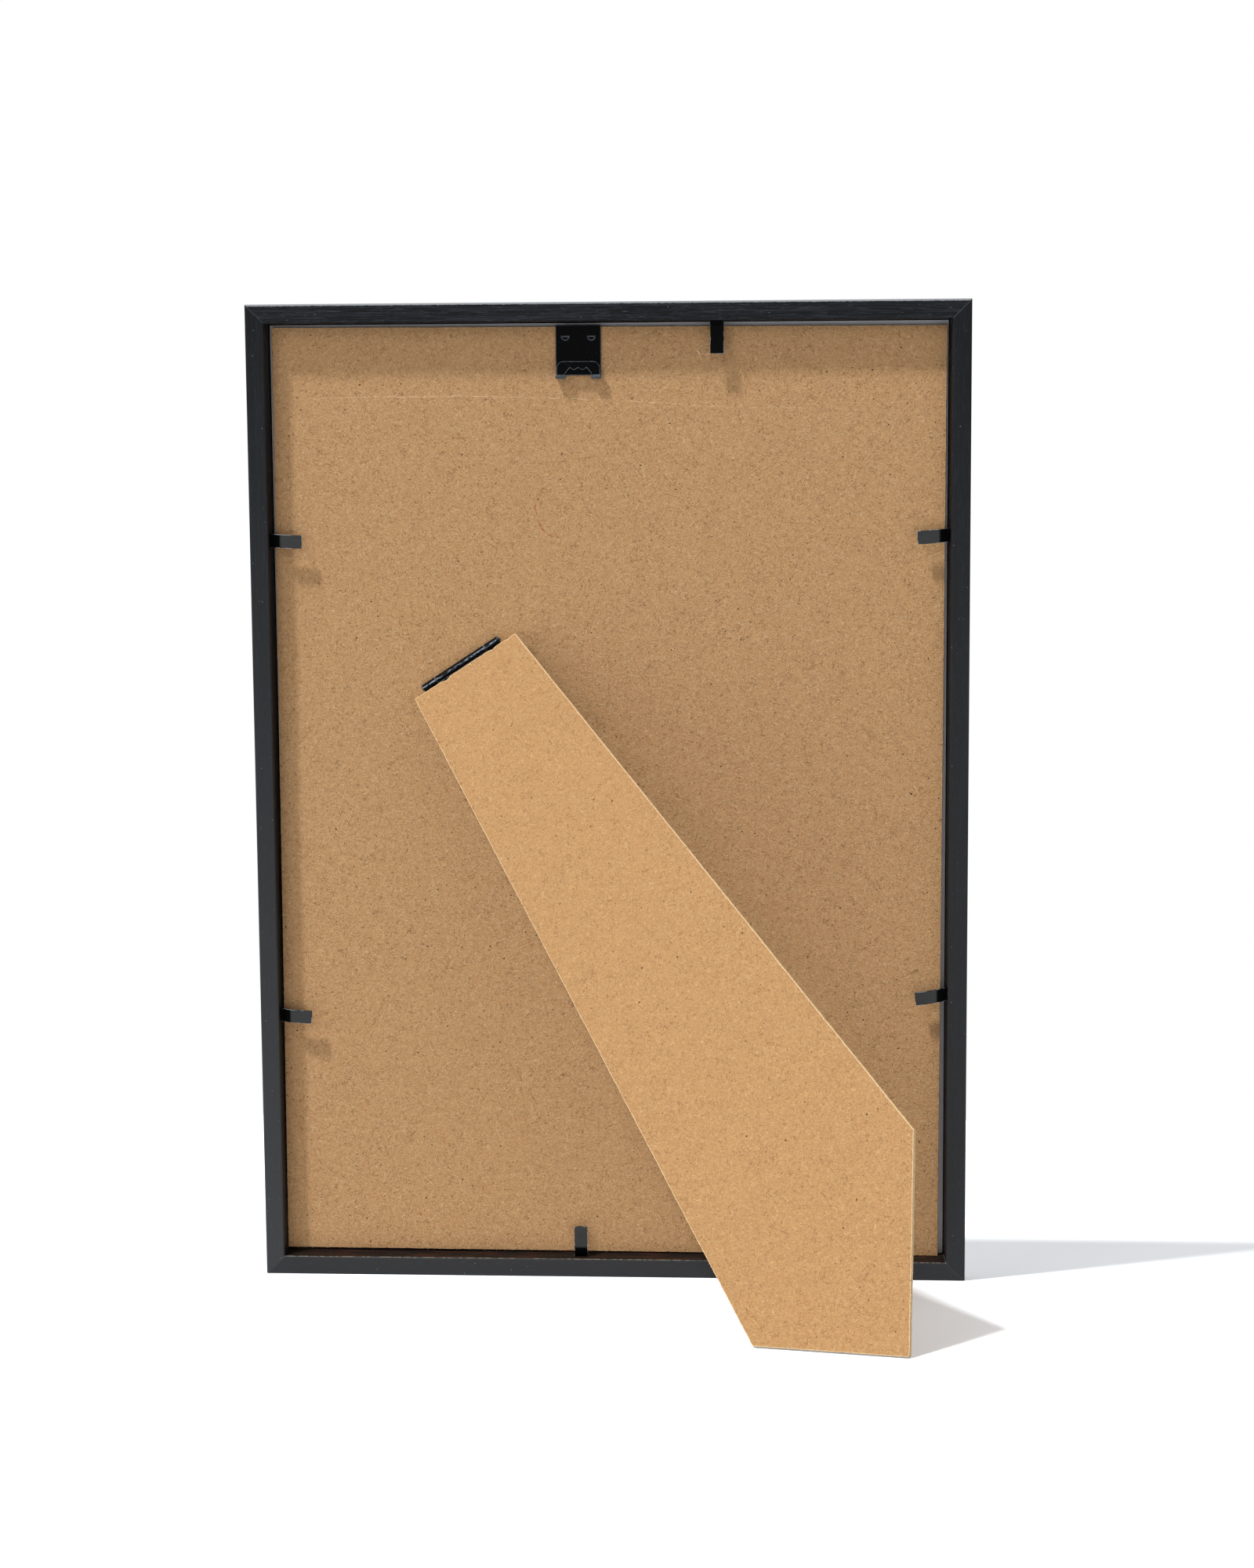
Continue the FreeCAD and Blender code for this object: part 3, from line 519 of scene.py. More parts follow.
@dataclass(frozen=True)
class BlackSteel:
    """Thin strip steel, stamped and lacquered black.

    The lacquer is satin over a fine orange peel. A broken bluish streak along a hinge barrel is a
    painted highlight, the hanger's lowest bend takes a painted reflection of the floor, and the eased
    edges go grey, partly as worn lacquer and partly as painted highlight.
    """

    name: str
    ground: str = "#030304"
    # used for dust, for worn edges, and for the painted highlight and reflection marks
    worn: str = "#78818c"
    roughness: float = 0.3
    shine: float = 0.035
    peel: float = 0.5  # mm between the bumps of the lacquer
    peel_depth: float = 0.02
    dust: Specks = Specks(0.95, 0.1)
    painted_streak: float = 0.0  # half width in mm of the painted highlight streak along a barrel
    painted_streak_at: float = 0.0  # mm across the pin where that line runs
    painted_streak_bits: Dashes = Dashes((1.1, 0.35), 0.42, 4.0, 0.2)
    painted_glint_below: float | None = None  # mm up the back, under which the lowest bend gets a painted reflection of the floor

    def material(self, axes: Axes) -> Material:
        """Makes the lacquered steel.

        Args:
            axes: Axes of the piece.

        Returns:
            The material.
        """
        material, tree = blank(self.name)
        place = axes.millimetres(tree)
        peel = add(tree, NOISE, {"Vector": place, "Scale": 1 / self.peel, "Detail": 2.0})
        sheen = add(tree, NOISE, {"Vector": place, "Scale": 0.6, "Detail": 4.0})
        up, level = add(tree, "ShaderNodeSeparateXYZ", {0: place}).outputs[1:]
        feeds = {"Value": sheen, "From Min": 0.45, "From Max": 0.75, "To Min": self.roughness}
        dull = add(tree, RAMP, {**feeds, "To Max": self.roughness + 0.15})
        layers = [(self.dust.draw(tree, place), self.worn, 0.25)]
        # painted reflection: the lowest bend is mixed towards pale bluish grey, broken up by a noise
        if self.painted_glint_below is not None:
            feeds = {"Value": up, "From Min": self.painted_glint_below, "From Max": self.painted_glint_below - 0.5}
            low = add(tree, RAMP, feeds, **SMOOTH)
            low = add(tree, MATH, {0: low, 1: sheen}, **TIMES)
            layers.append((low, self.worn, 0.9))
        # painted highlight: a broken bluish line along the barrel's crest
        if self.painted_streak:
            off = apart(tree, up, self.painted_streak_at)
            line = add(tree, RAMP, {"Value": off, "From Min": self.painted_streak, "From Max": 0.0}, **SMOOTH)
            bits = self.painted_streak_bits.draw(tree, place)
            feeds = {"Value": level, "From Min": 0.5, "From Max": 0.7, "To Max": bits}
            line = add(tree, MATH, {0: line, 1: add(tree, RAMP, feeds)}, **TIMES)
            layers.append((line, self.worn, 0.7))
        coat = {"Roughness": dull, "Specular IOR Level": self.shine}
        return finished(material, self.ground, layers, coat, peel, self.peel_depth)

    def edge(self, axes: Axes) -> Material:
        """Makes the steel of its eased edges: lacquer thinned by handling, paler also as a painted
        highlight.
        """
        material, tree = blank(f"{self.name}_worn_edge_and_highlight")
        gone = add(tree, NOISE, {"Vector": axes.millimetres(tree), "Scale": 1.6, "Detail": 3.0})
        gone = add(tree, RAMP, {"Value": gone, "From Min": 0.3, "From Max": 0.6})
        coat = {"Metallic": 0.5, "Roughness": self.roughness + 0.1}
        return finished(
            material, self.ground, [(gone, self.worn, 0.38)], coat, gone, self.peel_depth
        )


@dataclass(frozen=True)
class BluedSteel:
    """Spring steel with the dark oxide that hardening leaves.

    The oxide is a thin skin on metal, so it gives a soft charcoal reflection, streaked by
    rolling; where the strip is bent and dives into the moulding, painted shade makes it nearly black.
    """

    name: str
    ground: str
    # bright steel of the sheared edges, also painted highlight
    worn: str = "#a9aeb2"
    rolled: str = "#212122"
    cloudy: str = "#2b2b2c"
    painted_shade: str = "#020202"
    streaks: float = 0.3
    roughness: float = 0.42
    lines: Dashes = Dashes((5.0, 0.12), 0.5, 9.0, 0.2)
    bright: Dashes = Dashes((2.6, 0.8), 0.46, 15.0, 0.12)
    shaded_to: float = 0.0  # mm from the frame's outer edge, up to where painted shade darkens the tab

    def material(self, axes: Axes) -> Material:
        """Makes the blued steel."""
        material, tree = blank(self.name)
        place = axes.millimetres(tree)
        lines = self.lines.draw(tree, place)
        cloud = add(tree, NOISE, {"Vector": place, "Scale": 0.7, "Detail": 3.0})
        layers = [(lines, self.rolled, self.streaks), (cloud, self.cloudy, self.streaks)]
        # painted shade: nearly black where the tab leaves the moulding
        if self.shaded_to:
            depth = rim(tree, place)[0]
            feeds = {"Value": depth, "From Min": self.shaded_to + 0.5, "From Max": self.shaded_to - 0.5}
            layers.append((add(tree, RAMP, feeds, **SMOOTH), self.painted_shade, 0.97))
        coat = {"Metallic": 1.0, "Roughness": self.roughness}
        return finished(material, self.ground, layers, coat, lines, 0.006)

    def edge(self, axes: Axes) -> Material:
        """Makes the sheared edge, where bright steel shows in places and paints a highlight line."""
        material, tree = blank(f"{self.name}_sheared_edge_and_highlight")
        bright = self.bright.draw(tree, axes.millimetres(tree))
        coat = {"Metallic": 1.0, "Roughness": self.roughness}
        return finished(material, self.ground, [(bright, self.worn, 0.8)], coat, bright, 0.01)


@dataclass(frozen=True)
class BareSteel:
    """Bright rolled steel strip of the V nails, with fine rolling lines."""

    name: str = "bare_rolled_steel"
    ground: str = "#a9abad"
    rolled: str = "#77797b"
    lines: Dashes = Dashes((6.0, 0.1), 0.5, 5.0, 0.2)

    def material(self) -> Material:
        """Makes the steel."""
        material, tree = blank(self.name)
        lines = self.lines.draw(tree, BACK.millimetres(tree))
        coat = {"Metallic": 1.0, "Roughness": 0.35}
        return finished(material, self.ground, [(lines, self.rolled, 0.4)], coat, lines, 0.01)


@dataclass(frozen=True)
class ClearSheet:
    """Extruded clear styrene glazing: glossy, with a faint slow wave from the rollers."""

    name: str = "clear_styrene_sheet"
    tint: str = "#fbfcfc"
    wave_depth: float = 0.02  # mm

    def material(self) -> Material:
        """Makes the glazing, which lets the lamps' light through to the insert."""
        material, tree = blank(self.name)
        wave = add(tree, NOISE, {"Vector": BACK.millimetres(tree), "Scale": 0.03, "Detail": 1.0})
        raised = {"Height": wave, "Distance": self.wave_depth * MM, "Strength": 1.0}
        feeds = {
            "Base Color": linear(self.tint),
            "Roughness": 0.03,
            "IOR": 1.59,
            "Transmission Weight": 1.0,
            "Normal": add(tree, "ShaderNodeBump", raised),
        }
        sheet = add(tree, "ShaderNodeBsdfPrincipled", feeds)
        through = add(tree, "ShaderNodeBsdfTransparent")
        path = add(tree, "ShaderNodeLightPath").outputs
        mixed = add(tree, "ShaderNodeMixShader", {0: path["Is Shadow Ray"], 1: sheet, 2: through})
        add(tree, "ShaderNodeOutputMaterial", {"Surface": mixed})
        return material


@dataclass(frozen=True)
class BlankCard:
    """Uncoated white card of the insert, with the soft cloud of its paper fibres."""

    name: str = "blank_white_card"
    ground: str = "#dcdbe0"
    cloudy: str = "#c9c8cf"

    def material(self) -> Material:
        """Makes the card."""
        material, tree = blank(self.name)
        place = BACK.millimetres(tree)
        cloud = add(tree, NOISE, {"Vector": place, "Scale": 0.4, "Detail": 4.0})
        tooth = add(tree, NOISE, {"Vector": place, "Scale": 4.0, "Detail": 2.0})
        return finished(
            material, self.ground, [(cloud, self.cloudy, 0.3)], {"Roughness": 0.7}, tooth, 0.02
        )


def evened(name: str, form: bmesh.types.BMesh, crease: float) -> Piece:
    """Makes a piece whose shading follows its large faces, so that flats stay flat.

    Args:
        name: Name of the new piece.
        form: Its finished shape.
        crease: Angle in degrees from which an edge counts as sharp.

    Returns:
        The new piece, with no modifier on it.
    """
    mesh = bpy.data.meshes.new(name)
    form.to_mesh(mesh)
    mesh.shade_smooth()
    mesh.set_sharp_from_angle(angle=math.radians(crease))
    piece = bpy.data.objects.new(name, mesh)
    bpy.context.scene.collection.objects.link(piece)
    weigh = piece.modifiers.new("weigh", "WEIGHTED_NORMAL")
    weigh.keep_sharp = True
    ready = piece.evaluated_get(bpy.context.evaluated_depsgraph_get())
    even = bpy.data.meshes.new_from_object(ready)
    piece.modifiers.clear()
    piece.data = even
    return piece


def welded(node: str) -> bmesh.types.BMesh:
    """Opens a copy of a CAD node's mesh with its corners joined."""
    form = bmesh.new()
    form.from_mesh(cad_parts[node].data)
    bmesh.ops.remove_doubles(form, verts=form.verts, dist=WELD * MM)
    return form


def softened(node: str, edge: float, worn: bool = False) -> Piece:
    """Copies a CAD node with its sharp edges eased, so that they catch a thin line of light.

    Args:
        node: Name of the CAD node, which the copy replaces.
        edge: Width of the easing in millimetres.
        worn: Whether the eased edges take the piece's second material.

    Returns:
        The new piece.
    """
    form = welded(node)
    flat = math.radians(0.5)
    bmesh.ops.dissolve_limit(form, angle_limit=flat, verts=form.verts, edges=form.edges)
    sharp = [
        line
        for line in form.edges
        if len(line.link_faces) == 2 and line.calc_face_angle() > math.radians(CREASE)
    ]
    bmesh.ops.bevel(
        form,
        geom=sharp,
        offset=edge * MM,
        offset_type="OFFSET",
        segments=2,
        profile=0.5,
        affect="EDGES",
        clamp_overlap=False,
        material=1 if worn else -1,
    )
    piece = evened(f"{node}_eased", form, CREASE)
    form.free()
    return piece


def slimmed(node: str, gap: float) -> Piece:
    """Copies a CAD node a hair thinner, so that air lies between it and its neighbours.

    Args:
        node: Name of the CAD node, which the copy replaces.
        gap: Air on each side in millimetres.

    Returns:
        The new piece.
    """
    form = welded(node)
    form.normal_update()
    for vertex in form.verts:
        vertex.co -= vertex.normal * vertex.calc_shell_factor() * gap * MM
    piece = evened(f"{node}_slimmed", form, CREASE)
    form.free()
    return piece


def settle(piece: Piece, materials: list[Material], body: str, slot: str, *nodes: str) -> None:
    """Dresses a finished piece and hands it to the body that carries it.

    Args:
        piece: Finished piece.
        materials: Its material, or several where its faces say which.
        body: CAD body that it moves with.
        slot: Material slot of the record; not used.
        *nodes: CAD nodes that it stands for.
    """
    slots = piece.data.materials
    for number, material in enumerate(materials):
        if number < len(slots):
            slots[number] = material
        else:
            slots.append(material)
    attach(piece, body)
    if nodes:
        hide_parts(*nodes)
    log.info("%s: %d faces, rides on %s", piece.name, len(piece.data.polygons), body)


def dress(node: str, material: Material) -> None:
    """Gives a CAD node its material, where its shape is right as it is."""
    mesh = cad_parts[node].data
    mesh.materials.clear()
    mesh.materials.append(material)
    log.info("%s: CAD shape, %s", node, material.name)


@dataclass
class Moulding:
    """Four mitred lengths of foil-wrapped moulding and the nails in their mitres."""

    finish: FoilWrap = FoilWrap()
    eased: float = 0.2  # mm
    top_print: float = 1.0  # how plainly the print shows on the top rail
    faint_print: float = 0.35  # and on the others

    def build(self) -> None:
        """Makes the four lengths, and dresses the nails."""
        # the last number sets how strongly painted floor light pales each length at the foot
        for node, grain, strength, painted_lift in (
            ("rail_top", Grain.ACROSS, self.top_print, 0.03),
            ("rail_bottom", Grain.ACROSS, self.faint_print, 0.25),
            ("stile_left", Grain.UPRIGHT, self.faint_print, 0.38),
            ("stile_right", Grain.UPRIGHT, self.faint_print, 0.22),
        ):
            material = self.finish.material(node, grain, strength, painted_lift)
            settle(softened(node, self.eased), [material], "frame", "moulding", node)
        steel = BareSteel().material()
        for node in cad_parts:
            if node.startswith("corner_nail"):
                dress(node, steel)


@dataclass(frozen=True)
class Chip:
    """A place where a bit of a sawn edge has come off, in mm in the board's own axes."""

    x: float
    y: float
    width: float
    depth: float


@dataclass
class SawnBoard:
    """A panel sawn from fibreboard: eased, slightly ragged edges, chips and loose fibres."""

    node: str
    body: str
    slot: str
    axes: Axes
    finish: Fibreboard
    edge_finish: Fibreboard
    chips: tuple[Chip, ...] = ()
    step: float = 0.8  # mm between the points of the outline
    eased: float = 0.2  # mm
    crease: float = 50.0  # degrees from which an edge counts as sharp
    ragged: float = 0.09  # mm
    tooth_pace: float = 0.9  # per mm, of the saw's fine marks
    wander_pace: float = 0.17  # per mm, of its slower wander
    fibre_floor: float = 5.0  # mm above the floor, under which no fibre stands out
    seed: int = 3

    def outline(self) -> tuple[list[Point], float, float]:
        """Reads the outline and the two faces from the CAD node.

        Returns:
            Corners in turn, and the level of the inner and of the outer face.
        """
        points = [self.axes.inside(v.co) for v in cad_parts[self.node].data.vertices]
        low, high = min(p.z for p in points), max(p.z for p in points)
        flat = sorted({(round(p.x, 3), round(p.y, 3)) for p in points if p.z > high - 0.2})
        hull: list[Point] = []
        for run in (flat, flat[::-1]):
            keep: list[Point] = []
            for x, y in run:
                while len(keep) > 1:
                    (ax, ay), (bx, by) = keep[-2:]
                    if (bx - ax) * (y - ay) - (by - ay) * (x - ax) > 1e-4:
                        break
                    keep.pop()
                keep.append((x, y))
            hull += keep[:-1]
        return hull, low, high

    def sawn_line(self, corners: list[Point]) -> list[Point]:
        """Divides the outline and roughens it a little, always inwards.

        Args:
            corners: Corners in turn, anticlockwise.

        Returns:
            Points of the sawn edge.
        """
        points: list[Point] = []
        for (ax, ay), (bx, by) in zip(corners, corners[1:] + corners[:1]):
            length = math.hypot(bx - ax, by - ay)
            count = max(1, round(length / self.step))
            inwards = Vector((-(by - ay), bx - ax)) / length
            for number in range(count):
                share = number / count
                x, y = ax + (bx - ax) * share, ay + (by - ay) * share
                fine, slow = self.tooth_pace, self.wander_pace
                rough = noise.noise(Vector((x * fine, y * fine, self.seed)))
                rough += 0.6 * noise.noise(Vector((x * slow, y * slow, self.seed + 9)))
                inset = self.ragged * max(0.0, 0.5 + rough)
                for chip in self.chips:
                    off = math.hypot(x - chip.x, y - chip.y) / (chip.width / 2)
                    if off < 1:
                        inset += chip.depth * (1 - off * off) ** 1.5
                points.append((x + inwards.x * inset, y + inwards.y * inset))
        return points

    def panel(self) -> tuple[bmesh.types.BMesh, list[bmesh.types.BMFace]]:
        """Shapes the panel round its sawn line.

        Returns:
            The shape, and the faces of its edge.
        """
        corners, low, high = self.outline()
        line = self.sawn_line(corners)
        form = bmesh.new()
        rings = []
        third = self.eased * 0.3
        for inset, level in (
            (self.eased, low),
            (third, low + third),
            (0.0, low + self.eased),
            (0.0, high - self.eased),
            (third, high - third),
            (self.eased, high),
        ):
            ring = []
            for number, (x, y) in enumerate(line):
                ax, ay = line[number - 1]
                bx, by = line[(number + 1) % len(line)]
                inwards = Vector((-(by - ay), bx - ax)).normalized() * inset
                ring.append(form.verts.new(self.axes.at(x + inwards.x, y + inwards.y, level)))
            rings.append(ring)
        sides = []
        for lower, upper in zip(rings, rings[1:]):
            for number in range(len(line)):
                after = (number + 1) % len(line)
                quad = (lower[number], lower[after], upper[after], upper[number])
                sides.append(form.faces.new(quad))
                sides[-1].material_index = 1
        form.faces.new(rings[-1])
        form.faces.new(rings[0][::-1])
        form.normal_update()
        return form, sides

    def build(self) -> None:
        """Makes the panel and the fibres that stand out of its edge."""
        form, sides = self.panel()
        panel = evened(f"{self.node}_sawn", form, self.crease)
        materials = [self.finish.material(self.axes), self.edge_finish.material(self.axes)]
        hairy = {face for face in sides if face.calc_center_median().z > self.fibre_floor * MM}
        others = [face for face in form.faces if face not in hairy]
        bmesh.ops.delete(form, geom=others, context="FACES")
        wall = bpy.data.meshes.new(f"{self.node}_edge")
        form.to_mesh(wall)
        form.free()
        settle(panel, materials, self.body, self.slot, self.node)
        fuzz = LooseFibres(seed=self.seed).grow(f"{self.node}_fibres", wall, materials[1])
        settle(fuzz, [materials[1]], self.body, self.slot)


@dataclass(frozen=True)
class LooseFibres:
    """Wood fibres that stand out of a sawn edge, grown on it by geometry nodes."""

    density: float = 1.1e6  # per square metre, about one on each square millimetre
    length: float = 0.62  # mm
    thickness: float = 0.045  # mm
    tilt: float = 1.1  # radians that a fibre leans at most, either way
    spin: float = 3.1  # radians that it is turned at most, either way
    shortest: float = 0.35  # part of the full length
    seed: int = 1

    def tree(self, material: Material) -> Tree:
        """Builds the node group.

        Args:
            material: Finish of the fibres.

        Returns:
            The group, with its sizes as named inputs.
        """
        group = bpy.data.node_groups.new("loose_fibres", "GeometryNodeTree")
        sheet = group.interface
        sheet.new_socket("Edge", in_out="INPUT", socket_type="NodeSocketGeometry")
        for name in ("Density", "Length", "Thickness"):
            sheet.new_socket(name, in_out="INPUT", socket_type="NodeSocketFloat")
        sheet.new_socket("Seed", in_out="INPUT", socket_type="NodeSocketInt")
        sheet.new_socket("Fibres", in_out="OUTPUT", socket_type="NodeSocketGeometry")
        given = add(group, "NodeGroupInput").outputs
        feeds = {"Mesh": given["Edge"], "Density": given["Density"], "Seed": given["Seed"]}
        roots = add(group, "GeometryNodeDistributePointsOnFaces", feeds)
        feeds = {
            "Vertices": 4,
            "Radius Top": 0.0,
            "Radius Bottom": given["Thickness"],
            "Depth": given["Length"],
        }
        fibre = add(group, "GeometryNodeMeshCone", feeds)
        most = (self.tilt, self.tilt, self.spin)
        feeds = {0: tuple(-angle for angle in most), 1: most, "Seed": given["Seed"]}
        lean = add(group, "FunctionNodeRandomValue", feeds, data_type="FLOAT_VECTOR")
        feeds = {"Rotation": roots.outputs["Rotation"], "Rotate By": lean}
        turned = add(group, "FunctionNodeRotateRotation", feeds, rotation_space="LOCAL")
        feeds = {2: self.shortest, 3: 1.0, "Seed": 17}
        size = add(group, "FunctionNodeRandomValue", feeds, data_type="FLOAT")
        feeds = {
            "Points": roots.outputs["Points"],
            "Instance": fibre.outputs["Mesh"],
            "Rotation": turned,
            "Scale": size.outputs[1],
        }
        grown = add(group, "GeometryNodeInstanceOnPoints", feeds)
        solid = add(group, "GeometryNodeRealizeInstances", {0: grown})
        dressed = add(group, "GeometryNodeSetMaterial", {"Geometry": solid, "Material": material})
        add(group, "NodeGroupOutput", {"Fibres": dressed})
        return group

    def grow(self, name: str, wall: bpy.types.Mesh, material: Material) -> Piece:
        """Grows the fibres on a sawn edge and turns them into a plain mesh.

        Args:
            name: Name of the new piece.
            wall: Faces of the sawn edge.
            material: Finish of the fibres.

        Returns:
            The piece with all fibres.
        """
        carrier = bpy.data.objects.new(name, wall)
        bpy.context.scene.collection.objects.link(carrier)
        grower = carrier.modifiers.new("grow", "NODES")
        grower.node_group = self.tree(material)
        values = {
            "Density": self.density,
            "Length": self.length * MM,
            "Thickness": self.thickness * MM,
            "Seed": self.seed,
        }
        for item in grower.node_group.interface.items_tree:
            if item.in_out == "INPUT" and item.name in values:
                grower[item.identifier] = values[item.name]
        ready = carrier.evaluated_get(bpy.context.evaluated_depsgraph_get())
        mesh = bpy.data.meshes.new_from_object(ready)
        carrier.modifiers.clear()
        carrier.data = mesh
        return carrier


class Hold(Enum):
    """Places of the six flexible tabs round the back."""

    LEFT_UPPER = "left_upper"
    LEFT_LOWER = "left_lower"
    RIGHT_UPPER = "right_upper"
    RIGHT_LOWER = "right_lower"
    TOP = "top"
    BOTTOM = "bottom"


@dataclass
class Metalwork:
    """Flexible tabs, sawtooth hanger and the strut's two-leaf hinge, all of black steel."""

    tab_finish: BluedSteel = BluedSteel("blued_spring_steel_tab", "#363636", shaded_to=9.4)
    # painted shade: the top tab gets a near-black copy of the tab steel
    shaded_top_tab_finish: BluedSteel = BluedSteel("blued_spring_steel_top_tab_painted_shade", "#090909", streaks=0.06)
    # the hanger's lowest bend gets a painted reflection of the floor
    hanger_finish: BlackSteel = BlackSteel("black_lacquered_hanger", painted_glint_below=133.2)
    # its worn colour here paints mostly the bluish highlight streak along the barrel
    hinge_finish: BlackSteel = BlackSteel(
        "black_lacquered_hinge",
        worn="#97a6ba",
        shine=0.06,
        peel=0.8,
        peel_depth=0.05,
        painted_streak=0.4,
        painted_streak_at=-0.35,
    )
    tab_eased: float = 0.09  # mm
    hanger_eased: float = 0.17
    hinge_eased: float = 0.12
    made: dict[str, list[Material]] = field(default_factory=dict)

    def build(self) -> None:
        """Makes every metal piece of the back."""
        for hold in Hold:
            finish = self.shaded_top_tab_finish if hold is Hold.TOP else self.tab_finish
            body = f"tab_{hold.value}"
            self.metal(f"tab_blade_{hold.value}", body, "tab", self.tab_eased, finish)
            dress(f"tab_root_{hold.value}", bpy.data.materials[finish.name])
        self.metal("sawtooth_hanger", "frame", "hanger", self.hanger_eased, self.hanger_finish)
        for node, body, slot in (
            ("hinge_leaf_board", "frame", "hinge"),
            ("hinge_pin", "frame", "pin"),
            ("hinge_leaf_strut", "strut", "hinge"),
        ):
            self.metal(node, body, slot, self.hinge_eased, self.hinge_finish, STRUT)

    def metal(
        self,
        node: str,
        body: str,
        slot: str,
        eased: float,
        finish: BlackSteel | BluedSteel,
        axes: Axes = BACK,
    ) -> None:
        """Makes one stamped piece with worn edges.

        Args:
            node: CAD node of the piece.
            body: CAD body that it moves with.
            slot: Material slot of the record.
            eased: Width of its edges' easing in millimetres.
            finish: Its finish.
            axes: Axes that its finish lies in.
        """
        if finish.name not in self.made:
            self.made[finish.name] = [finish.material(axes), finish.edge(axes)]
        settle(softened(node, eased, worn=True), self.made[finish.name], body, slot, node)


@dataclass
class Backing:
    """What lies in the rebate: glazing, blank insert and the fibreboard back."""

    finish: Fibreboard = Fibreboard(
        "pressed_fibreboard_back",
        "#ba9165",
        "#d9bd93",
        "#815c3a",
        scratches=(
            Scratch((-99, 126), (45, 122), 2.2, 0.17, "#e8d0aa", 0.42),
            Scratch((40, 122.5), (92, 120), 1.0, 0.15, "#e8d0aa", 0.25),
            Scratch((32.4, 142.2), (27.9, 140.8), -0.3, 0.22, "#ecd6b2", 0.6),
            Scratch((28.2, 141.4), (28.9, 138.9), -0.4, 0.2, "#ecd6b2", 0.6),
            Scratch((28.3, 139.3), (32.4, 139.3), -0.3, 0.2, "#ecd6b2", 0.6),
            Scratch((-22.8, 94), (-19.8, 83.4), -0.9, 0.42, "#96502f", 0.8),
            Scratch((-20.8, 84.8), (-13.8, 82.4), -0.8, 0.36, "#96502f", 0.7),
        ),
    )
    # the edge's paler tan is partly the sawn board's own colour and partly painted highlight
    edge: Fibreboard = Fibreboard("sawn_back_edge_painted_highlight", "#c8a47c", "#e6cda6", "#5f4429")

    def build(self) -> None:
        """Makes the back, and dresses the glazing and the insert."""
        SawnBoard(
            "backing_board", "frame", "fibreboard", BACK, self.finish, self.edge, seed=5
        ).build()
        sheet = slimmed("glazing_sheet", 0.03)
        settle(sheet, [ClearSheet().material()], "frame", "glazing", "glazing_sheet")
        dress("picture_insert", BlankCard().material())


@dataclass
class EaselStrut:
    """The strut: a tapered panel with a splayed foot for standing the frame on its side."""

    finish: Fibreboard = Fibreboard(
        "pressed_fibreboard_strut",
        "#ab8457",
        "#ceae80",
        "#80593a",
        speck="#55351d",
        fibre=(1.2, 0.2),
        contrast=0.9,
    )
    # the edge's pale cream is partly the sawn board's own colour and partly painted highlight
    edge: Fibreboard = Fibreboard("sawn_strut_edge_painted_highlight", "#dfc196", "#efdcb8", "#bd9866")
    chips: tuple[Chip, ...] = (
        Chip(-5.9, -2.75, 3.2, 0.55),
        Chip(11.6, -2.75, 2.4, 0.4),
        Chip(17.2, -2.75, 1.6, 0.25),
    )

    def build(self) -> None:
        """Makes the strut."""
        SawnBoard(
            "strut_board", "strut", "strut", STRUT, self.finish, self.edge, self.chips, seed=8
        ).build()


def plainly_seen(tree: Tree) -> Node:
    """Tells the rays that show the background, straight or in a mirror or glass, from light.

    Args:
        tree: Node tree of the floor or of the room.

    Returns:
        Node with 1 on such a ray, otherwise 0.
    """
    ways = add(tree, "ShaderNodeLightPath").outputs
    seen = add(tree, MATH, {0: ways["Is Camera Ray"], 1: ways["Is Glossy Ray"]}, operation="MAXIMUM")
    return add(tree, MATH, {0: seen, 1: ways["Is Transmission Ray"]}, operation="MAXIMUM")


@dataclass(frozen=True)
class SoftLamp:
    """A square lamp that points at the frame."""

    name: str
    power: float  # W
    size: float  # m
    way: Way  # from the frame towards the lamp
    mirrored: bool = True  # whether glossy surfaces show it


